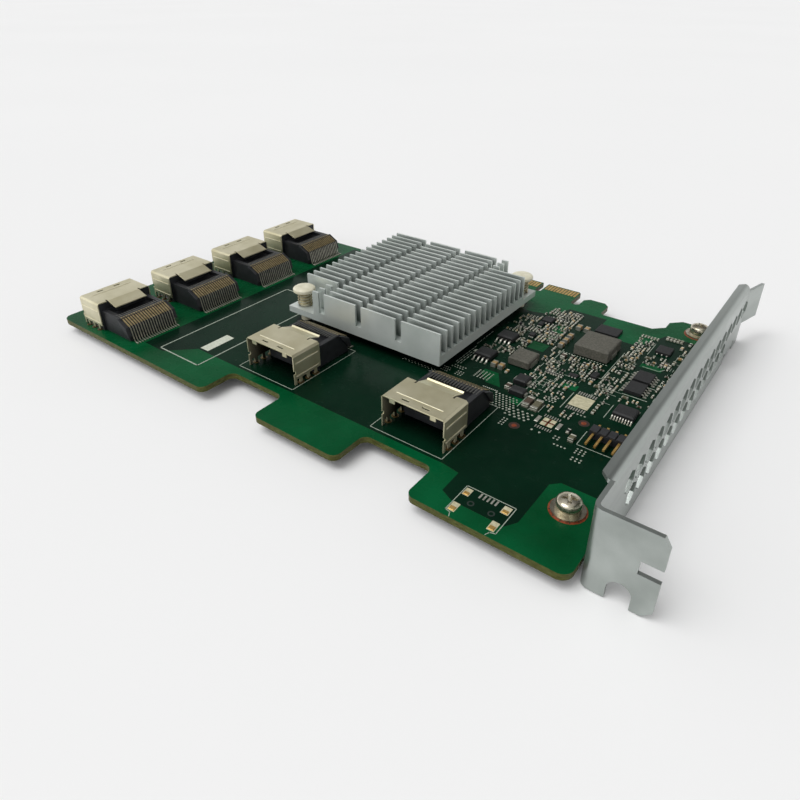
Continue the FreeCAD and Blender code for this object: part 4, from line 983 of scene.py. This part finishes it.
class Passives:
    """Two-ended chip parts with plated ends, each on two tinned pads."""

    def __init__(self):
        self.bodies = Piece("chip_part_bodies")
        self.ends = Piece("chip_part_ends")
        self.pads = Piece("chip_part_pads")
        self.taken = []

    def clear(self, x, y, width, depth):
        """Whether a rectangle is free of everything placed so far."""
        for other_x, other_y, other_width, other_depth in self.taken:
            if abs(x - other_x) < (width + other_width) / 2 + PART_GAP:
                if abs(y - other_y) < (depth + other_depth) / 2 + PART_GAP:
                    return False
        return True

    def keep(self, x, y, width, depth):
        """Keep a rectangle free of parts."""
        self.taken.append((x, y, width, depth))

    def keep_node(self, name, room=0.0):
        """Keep a CAD node's box free of parts, with some room before and behind it."""
        low, high = node_box(name)
        self.keep(*middle(name)[:2], high[0] - low[0], high[1] - low[1] + room)

    def place(self, x, y, kind, upright, look):
        """A part at a place; an upright one has its ends to the front and the rear."""
        length, width, height = PASSIVE_SIZES[kind]
        end = length * END_SHARE
        pad_length = end + 2 * FILLET
        low = TOP + PAD
        high = low + height

        def turned(along, across):
            return (across, along) if upright else (along, across)

        def spot(offset):
            return (x, y + offset) if upright else (x + offset, y)

        self.bodies.block(x, y, *turned(length - 2 * end, width), low, high, look, bevel=BODY_BEVEL)
        for sign in (-1, 1):
            cap = spot(sign * (length - end) / 2)
            self.ends.block(*cap, *turned(end, width + END_OVERLAP), low, high + END_RISE,
                            "chip_end", bevel=END_BEVEL)
            fillet = spot(sign * (length + FILLET) / 2)
            self.ends.block(*fillet, *turned(FILLET, width), low, low + height / 2,
                            "chip_end", bevel=FILLET_BEVEL)
            pad = spot(sign * (length - end + FILLET) / 2)
            self.pads.block(*pad, *turned(pad_length, width + PART_PAD_MARGIN), TOP, low, "solder")
        self.keep(x, y, *turned(length + 2 * FILLET, width + PART_MARGIN))

    def field(self, left, front, right, rear, pitch, fill, kinds, seed):
        """Rows of parts over a rectangle, most of them upright, wherever the board is free."""
        draw = random.Random(seed)
        y = front
        while y < rear:
            x = left
            while x < right:
                kind = draw.choice(kinds)
                look = draw.choice(FINISHES)
                present = draw.random() < fill
                upright = draw.random() < ALIGNED_SHARE
                length, width, _ = PASSIVE_SIZES[kind]
                size = (width + PART_MARGIN, length + 2 * FILLET)
                if present and self.clear(x, y, *(size if upright else size[::-1])):
                    self.place(x, y, kind, upright, look)
                x += pitch[0]
            y += pitch[1]

    def done(self):
        self.bodies.done("ceramic")
        self.ends.done("tin")
        self.pads.done("tin")


# Small chips: middle, width, depth and height
SMALL_CHIPS = [
    (12.9, -25.2, 3.0, 3.0, 0.9), (46.5, -23.0, 3.9, 4.2, 0.8), (36.3, -46.8, 1.6, 2.6, 0.9),
    (13.2, -36.2, 1.6, 1.8, 0.8), (12.2, -28.6, 1.4, 2.0, 0.8), (31.7, -49.5, 2.4, 1.3, 0.45),
]
SMALL_CHIP_ROOM = 0.8
COPPER_SPOTS = [(42.2, -67.4), (29.7, -77.7)]

# What chip parts keep clear of: all CAD nodes but the wide and the scattered ones, and some places
SPREAD_NODES = (
    "circuit_board", "slot_bracket", "edge_contacts", "chip_leads", "ceramic_capacitors",
    "capacitor_terminals", "inductor_terminals", "block_terminals", "flat_washers", "lock_washers",
)
LEADED_CHIPS = (
    "rear_transistor", "front_transistor", "controller_chip", "rear_memory_chip", "front_memory_chip",
)
LEAD_ROOM = 2.4
KEEP_OUTS = [
    # Tan capacitors
    (12.8, -57.2, 1.5, 2.2), (14.85, -57.2, 1.5, 2.2), (22.3, -24.4, 1.5, 2.2), (24.7, -24.4, 1.5, 2.2),
    (22.5, -34.0, 1.5, 8.4),
    # Empty footprints and the header
    (38.3, -59.7, 6.0, 9.6), (35.6, -72.1, 6.6, 6.4), (49.0, -73.0, 9.4, 6.4),
]
SPOT_ROOM = 2.4

# Rows of equal parts: first x, y, pitch, count, kind and finish
PART_ROWS = [
    (45.0, -15.0, 0.95, 5, "medium", "grey_ceramic"),
    (38.6, -17.3, 0.85, 6, "small", "grey_ceramic"),
    (25.2, -51.8, 0.72, 7, "small", "package"),
]

# Parts that can be told apart: x, y, kind, whether upright, and finish
SINGLE_PARTS = [
    (28.15, -67.7, "long", True, "brown_ceramic"),
    (30.5, -67.9, "long", True, "grey_ceramic"),
    (20.9, -64.4, "large", True, "brown_ceramic"),
    (39.0, -32.4, "medium", False, "grey_ceramic"),
    (40.7, -32.4, "medium", True, "ceramic"),
    (40.7, -72.5, "medium", True, "package"),
    (42.5, -74.8, "large", True, "grey_ceramic"),
    (42.2, -59.3, "medium", True, "grey_ceramic"),
    (42.2, -62.0, "medium", True, "grey_ceramic"),
    (32.6, -56.5, "medium", True, "ceramic"),
    (49.9, -18.7, "medium", True, "ceramic"),
    (25.6, -42.3, "large", True, "brown_ceramic"),
    (17.0, -58.0, "medium", True, "ceramic"),
    (46.0, -51.6, "medium", False, "grey_ceramic"),
    (50.6, -28.0, "medium", True, "grey_ceramic"),
]

# Crowded fields: left, front, right, rear, pitch across and along, how full, and the kinds in it
SMALL = ("small",)
MIXED = ("small", "small", "small", "medium")
PART_FIELDS = [
    (10.2, -37.6, 20.6, -15.6, (0.98, 1.5), 0.86, MIXED),
    (38.8, -41.0, 43.2, -19.2, (0.95, 1.45), 0.85, MIXED),
    (44.2, -32.2, 50.8, -26.4, (1.0, 1.5), 0.7, MIXED),
    (24.6, -50.2, 37.6, -40.6, (1.0, 1.5), 0.72, MIXED),
    (24.4, -60.6, 34.4, -53.2, (0.95, 1.4), 0.5, SMALL),
    (38.6, -57.0, 43.6, -42.4, (1.0, 1.5), 0.7, MIXED),
    (51.2, -52.0, 56.4, -14.6, (1.05, 1.6), 0.6, MIXED),
    (25.4, -64.6, 34.4, -61.0, (1.0, 1.45), 0.5, SMALL),
    (32.6, -69.0, 43.4, -64.8, (1.0, 1.45), 0.5, SMALL),
    (11.2, -50.6, 15.0, -38.6, (1.0, 1.5), 0.5, MIXED),
    (21.6, -57.0, 24.4, -38.8, (1.0, 1.5), 0.6, SMALL),
    (5.2, -38.0, 10.0, -24.0, (1.0, 1.6), 0.6, MIXED),
    (44.4, -53.4, 51.4, -51.0, (0.95, 1.35), 0.6, SMALL),
    (5.2, -50.6, 11.6, -46.6, (1.05, 1.5), 0.45, SMALL),
]


def keep_clear(passives):
    """Keep the chip parts off everything else on the board."""
    for name in nodes:
        if name not in SPREAD_NODES:
            passives.keep_node(name)
    for name in LEADED_CHIPS:
        passives.keep_node(name, LEAD_ROOM)
    for room in KEEP_OUTS:
        passives.keep(*room)
    for x, y in COPPER_SPOTS:
        passives.keep(x, y, SPOT_ROOM, SPOT_ROOM)
    for x, y, width, depth, _ in SMALL_CHIPS:
        passives.keep(x, y, width, depth + SMALL_CHIP_ROOM)


def make_passives():
    """Chip parts: those that can be told apart first, then the crowded fields."""
    passives = Passives()
    keep_clear(passives)
    for first, y, pitch, count, kind, look in PART_ROWS:
        for index in range(count):
            passives.place(first + pitch * index, y, kind, True, look)
    for part in SINGLE_PARTS:
        passives.place(*part)
    for seed, field in enumerate(PART_FIELDS):
        passives.field(*field, seed)
    passives.done()


# Plated edge of a small chip
CHIP_BEVEL = 0.08
CHIP_EDGE = (0.32, 0.5)
CHIP_EDGE_OUT = 0.12
CHIP_EDGE_SHARE = 0.3
CHIP_EDGE_BEVEL = 0.05


def make_small_chips():
    """Small packages without long leads, each with its row of plated edges."""
    chips = Piece("small_chip_bodies")
    edges = Piece("small_chip_leads")
    low = TOP + PAD
    for x, y, width, depth, height in SMALL_CHIPS:
        chips.block(x, y, width, depth, low, low + height, "package", bevel=CHIP_BEVEL)
        edge_top = low + height * CHIP_EDGE_SHARE
        for offset in (-width / 3, 0, width / 3):
            for side in (-1, 1):
                edge_y = y + side * (depth / 2 + CHIP_EDGE_OUT)
                edges.block(x + offset, edge_y, *CHIP_EDGE, TOP, edge_top, "tin",
                            bevel=CHIP_EDGE_BEVEL)
    chips.done("package")
    edges.done("tin")


# Groups of plated holes: left, front, columns, rows, pitch across and along, stagger and radius
VIA_HEIGHT = 0.06
VIA_GROUPS = [
    (19.6, -73.4, 7, 7, 0.95, 0.88, 0.48, 0.27),
    (25.6, -74.6, 5, 4, 1.25, 1.0, 0.6, 0.32),
    (26.4, -79.0, 2, 4, 0.8, 0.85, 0, 0.24),
    (11.0, -64.6, 5, 6, 0.95, 0.66, 0, 0.24),
    (15.6, -67.5, 8, 1, 0.55, 1.0, 0, 0.24),
    (31.0, -63.8, 3, 4, 0.85, 0.8, 0.3, 0.27),
    (33.6, -76.6, 2, 1, 1.9, 1.0, 0, 0.32),
    (39.0, -76.6, 2, 2, 0.9, 0.9, 0, 0.26),
    (40.0, -78.5, 4, 1, 0.85, 1.0, 0, 0.26),
    (44.9, -78.6, 3, 3, 0.9, 0.8, 0, 0.24),
    (45.2, -81.2, 3, 2, 0.95, 0.85, 0, 0.26),
    (24.4, -39.4, 16, 1, 0.8, 1.0, 0, 0.24),
    (3.8, -63.8, 5, 2, 0.8, 0.9, 0.4, 0.24),
    (6.6, -66.8, 3, 3, 0.8, 0.8, 0, 0.22),
    (40.4, -51.2, 3, 3, 0.85, 0.8, 0, 0.24),
    (38.6, -64.8, 4, 1, 0.9, 1.0, 0, 0.26),
    (-8.8, -68.9, 10, 2, 1.06, 0.55, 0.5, 0.17),
    (2.3, -67.0, 4, 3, 0.62, 0.9, 0.3, 0.19),
]


def make_vias():
    """Plated holes under the mask's openings, in the groups that the card shows."""
    vias = Piece("plated_holes")
    for left, front, columns, rows, across, along, stagger, radius in VIA_GROUPS:
        for row in range(rows):
            for column in range(columns):
                x = left + across * column + stagger * (row % 2)
                vias.drop(x, front + along * row, radius, VIA_HEIGHT, "dot")
    vias.done("tin", smooth=True)


# Bare pads: x, y, width, depth and finish
BARE_PADS = [
    # Middle of an empty chip footprint
    (38.25, -59.6, 4.9, 5.2, "bare_pad"),
    # Four quarters of an empty square footprint, and the copper cross between them
    (34.7, -72.9, 1.4, 1.45, "bare_pad"), (34.7, -71.2, 1.4, 1.45, "bare_pad"),
    (36.3, -72.9, 1.4, 1.45, "bare_pad"), (36.3, -71.2, 1.4, 1.45, "bare_pad"),
    (35.5, -72.05, 0.5, 3.1, "copper"), (35.5, -72.05, 3.0, 0.45, "copper"),
    # Corners of an empty connector at the front edge
    (33.0, -103.1, 1.5, 2.2, "bare_pad"), (41.75, -103.1, 1.7, 2.2, "bare_pad"),
    (33.0, -108.2, 1.6, 2.6, "bare_pad"), (41.75, -108.2, 1.6, 2.6, "bare_pad"),
]

# Rows of narrow pads of the same three: middle x, y, pitch, count, width and depth
PAD_ROWS = [
    (38.25, -55.9, 0.62, 8, 0.32, 1.4), (38.25, -63.3, 0.62, 8, 0.32, 1.4),
    (35.5, -69.7, 0.62, 7, 0.28, 1.0), (35.5, -74.8, 0.62, 7, 0.28, 1.0),
    (37.5, -102.5, 0.9, 5, 0.4, 1.5),
]

# Pads with solder on them: x, y, width, depth, rise, bevel and finish
SOLDERED_PADS = [
    (32.9, -72.1, 0.9, 2.5, 0.2, 0.08, "tin"), (38.2, -72.1, 0.9, 2.5, 0.2, 0.08, "tin"),
    (33.0, -103.54, 1.2, 0.99, 0.18, 0.15, "gold"), (41.75, -103.54, 1.36, 0.99, 0.18, 0.15, "gold"),
    (33.0, -108.72, 1.28, 1.17, 0.18, 0.15, "gold"), (41.75, -108.72, 1.28, 1.17, 0.18, 0.15, "gold"),
]

# Copper spots in stained mask, the connector's peg holes, and the copper rings of the bracket screws
HALO_RADIUS = 1.3
SPOT_RADIUS = 0.62
SPOT_RIM = 0.5
SPOT_RIM_RISE = 0.02
PEG_HOLES = ((35.2, -105.55), (39.8, -105.55))
PEG_RADII = (0.42, 0.75)
SCREW_RING_RADII = (2.2, 3.85)
SCREW_HOLE_COUNT = 12
SCREW_HOLE_CIRCLE = 3.55
SCREW_HOLE_RADIUS = 0.14


def make_pads():
    """Bare pads: empty footprints, copper spots, and the rings of the bracket screws."""
    pads = Piece("bare_pads")
    high = TOP + PAD
    for x, y, width, depth, look in BARE_PADS:
        pads.block(x, y, width, depth, TOP, high, look)
    for middle_x, y, pitch, count, width, depth in PAD_ROWS:
        for index in range(count):
            x = middle_x + pitch * (index - (count - 1) / 2)
            pads.block(x, y, width, depth, TOP, high, "tin")
    for x, y, width, depth, rise, bevel, look in SOLDERED_PADS:
        pads.block(x, y, width, depth, TOP, high + rise, look, bevel)
    for x, y in COPPER_SPOTS:
        pads.turned(x, y, [(HALO_RADIUS, TOP), (HALO_RADIUS, TOP + PAD / 2)], "halo")
        spot = [(SPOT_RADIUS, TOP), (SPOT_RADIUS, high), (SPOT_RIM, high + SPOT_RIM_RISE)]
        pads.turned(x, y, spot, "copper")
    # Peg holes and the screw rings' holes are dark rings and discs: painted shade of holes
    for spot in PEG_HOLES:
        pads.ring(*spot, *PEG_RADII, TOP, high, "hole")
    hole = [(SCREW_HOLE_RADIUS, TOP), (SCREW_HOLE_RADIUS, TOP + PLANE * 3)]
    for name in SCREWS:
        x, y, _ = middle(name)
        pads.ring(x, y, *SCREW_RING_RADII, TOP, TOP + PLANE * 2, "copper", sides=48)
        for hole_x, hole_y, _ in circle(x, y, SCREW_HOLE_CIRCLE, TOP, SCREW_HOLE_COUNT):
            pads.turned(hole_x, hole_y, hole, "hole", sides=10)
    pads.done("tin")


make_port_details()
make_screws()
make_push_pins()
make_leads()
make_planes()
make_silk()
make_passives()
make_small_chips()
make_vias()
make_pads()


# Floor, light and camera

FLOOR_SIZE = 60000
FLOOR_GAP = 0.2
FLOOR_PATCH = 400
FLOOR_TONES = [(NOISE_LOW, srgb("f1f1f1")), (NOISE_HIGH, srgb("f3f3f3"))]
FLOOR_ROUGHNESS = 0.9
FLOOR_SHINE = 0.1

# The sky is brightest towards the front, the left and above, and dark low at the rear; the horizon
# is bright all round. The camera sees a plain backdrop instead.
SKY_TOWARDS = (-0.3, -0.35, 0.88)
SKY_LEVELS = [(0.3, 0.06), (0.55, 0.26), (0.8, 0.72), (0.95, 0.85)]
HORIZON_LEVELS = [(0.0, 0.9), (0.36, 0.85), (0.52, 0.0)]
BACKDROP = "f1f1f1"

# Lamps: the direction that each comes from, its strength, and its width in degrees
LAMPS = {"key": ((-0.28, -0.36, 0.89), 1.28, 40), "fill": ((0.3, -0.85, 0.4), 0.12, 70)}


def make_floor():
    level = cad_box[0][2] - FLOOR_GAP * MM
    bpy.ops.mesh.primitive_plane_add(size=FLOOR_SIZE * MM, location=(0, 0, level))
    floor = bpy.context.object
    floor.name = "floor"
    look = Look("pale_floor")
    look.colour(look.ramp(look.noise(FLOOR_PATCH), FLOOR_TONES))
    look.shader.inputs["Roughness"].default_value = FLOOR_ROUGHNESS
    look.shader.inputs["Specular IOR Level"].default_value = FLOOR_SHINE
    floor.data.materials.append(look.material)


def greys(levels):
    return [(place, (level, level, level, 1)) for place, level in levels]


def make_world():
    world = bpy.data.worlds.new("studio")
    bpy.context.scene.world = world
    world.use_nodes = True
    sky = Tree(world.node_tree)
    direction = sky.node("ShaderNodeTexCoord").outputs["Generated"]
    facing = sky.node("ShaderNodeVectorMath", operation="DOT_PRODUCT")
    facing.inputs[1].default_value = Vector(SKY_TOWARDS).normalized()
    sky.link(direction, facing.inputs[0])
    height = sky.node("ShaderNodeSeparateXYZ")
    sky.link(direction, height.inputs["Vector"])
    light = sky.node("ShaderNodeMix", data_type="RGBA", blend_type="ADD")
    light.inputs["Factor"].default_value = 1.0
    sky.link(sky.ramp(facing.outputs["Value"], greys(SKY_LEVELS)), light.inputs["A"])
    sky.link(sky.ramp(height.outputs["Z"], greys(HORIZON_LEVELS)), light.inputs["B"])
    seen = sky.node("ShaderNodeMix", data_type="RGBA")
    seen.inputs["B"].default_value = srgb(BACKDROP)
    sky.link(sky.node("ShaderNodeLightPath").outputs["Is Camera Ray"], seen.inputs["Factor"])
    sky.link(light.outputs["Result"], seen.inputs["A"])
    background = world.node_tree.nodes["Background"]
    sky.link(seen.outputs["Result"], background.inputs["Color"])
    background.inputs["Strength"].default_value = 1.0


def make_lamps():
    for name, (towards, strength, spread) in LAMPS.items():
        lamp = bpy.data.lights.new(name, "SUN")
        lamp.energy = strength
        lamp.angle = math.radians(spread)
        holder = bpy.data.objects.new(name, lamp)
        holder.rotation_euler = Vector(towards).to_track_quat("Z", "Y").to_euler()
        bpy.context.scene.collection.objects.link(holder)


def make_camera():
    right = Vector(CAMERA_RIGHT).normalized()
    up = -Vector(CAMERA_DOWN).normalized()
    back = right.cross(up).normalized()
    up = back.cross(right)
    camera = bpy.data.cameras.new("camera")
    camera.sensor_width = SENSOR_WIDTH
    camera.lens = FOCAL_PIXELS / PICTURE_PIXELS * SENSOR_WIDTH
    camera.shift_y = (AXIS_ROW_PIXEL - PICTURE_PIXELS / 2) / PICTURE_PIXELS
    camera.clip_start = CAMERA_NEAR * MM
    holder = bpy.data.objects.new("camera", camera)
    turn = Matrix((right, up, back)).transposed().to_4x4()
    holder.matrix_world = Matrix.Translation(Vector(CAMERA_PLACE) * MM) @ turn
    bpy.context.scene.collection.objects.link(holder)
    bpy.context.scene.camera = holder


make_floor()
make_world()
make_lamps()
make_camera()
bpy.context.scene.view_settings.view_transform = "Standard"
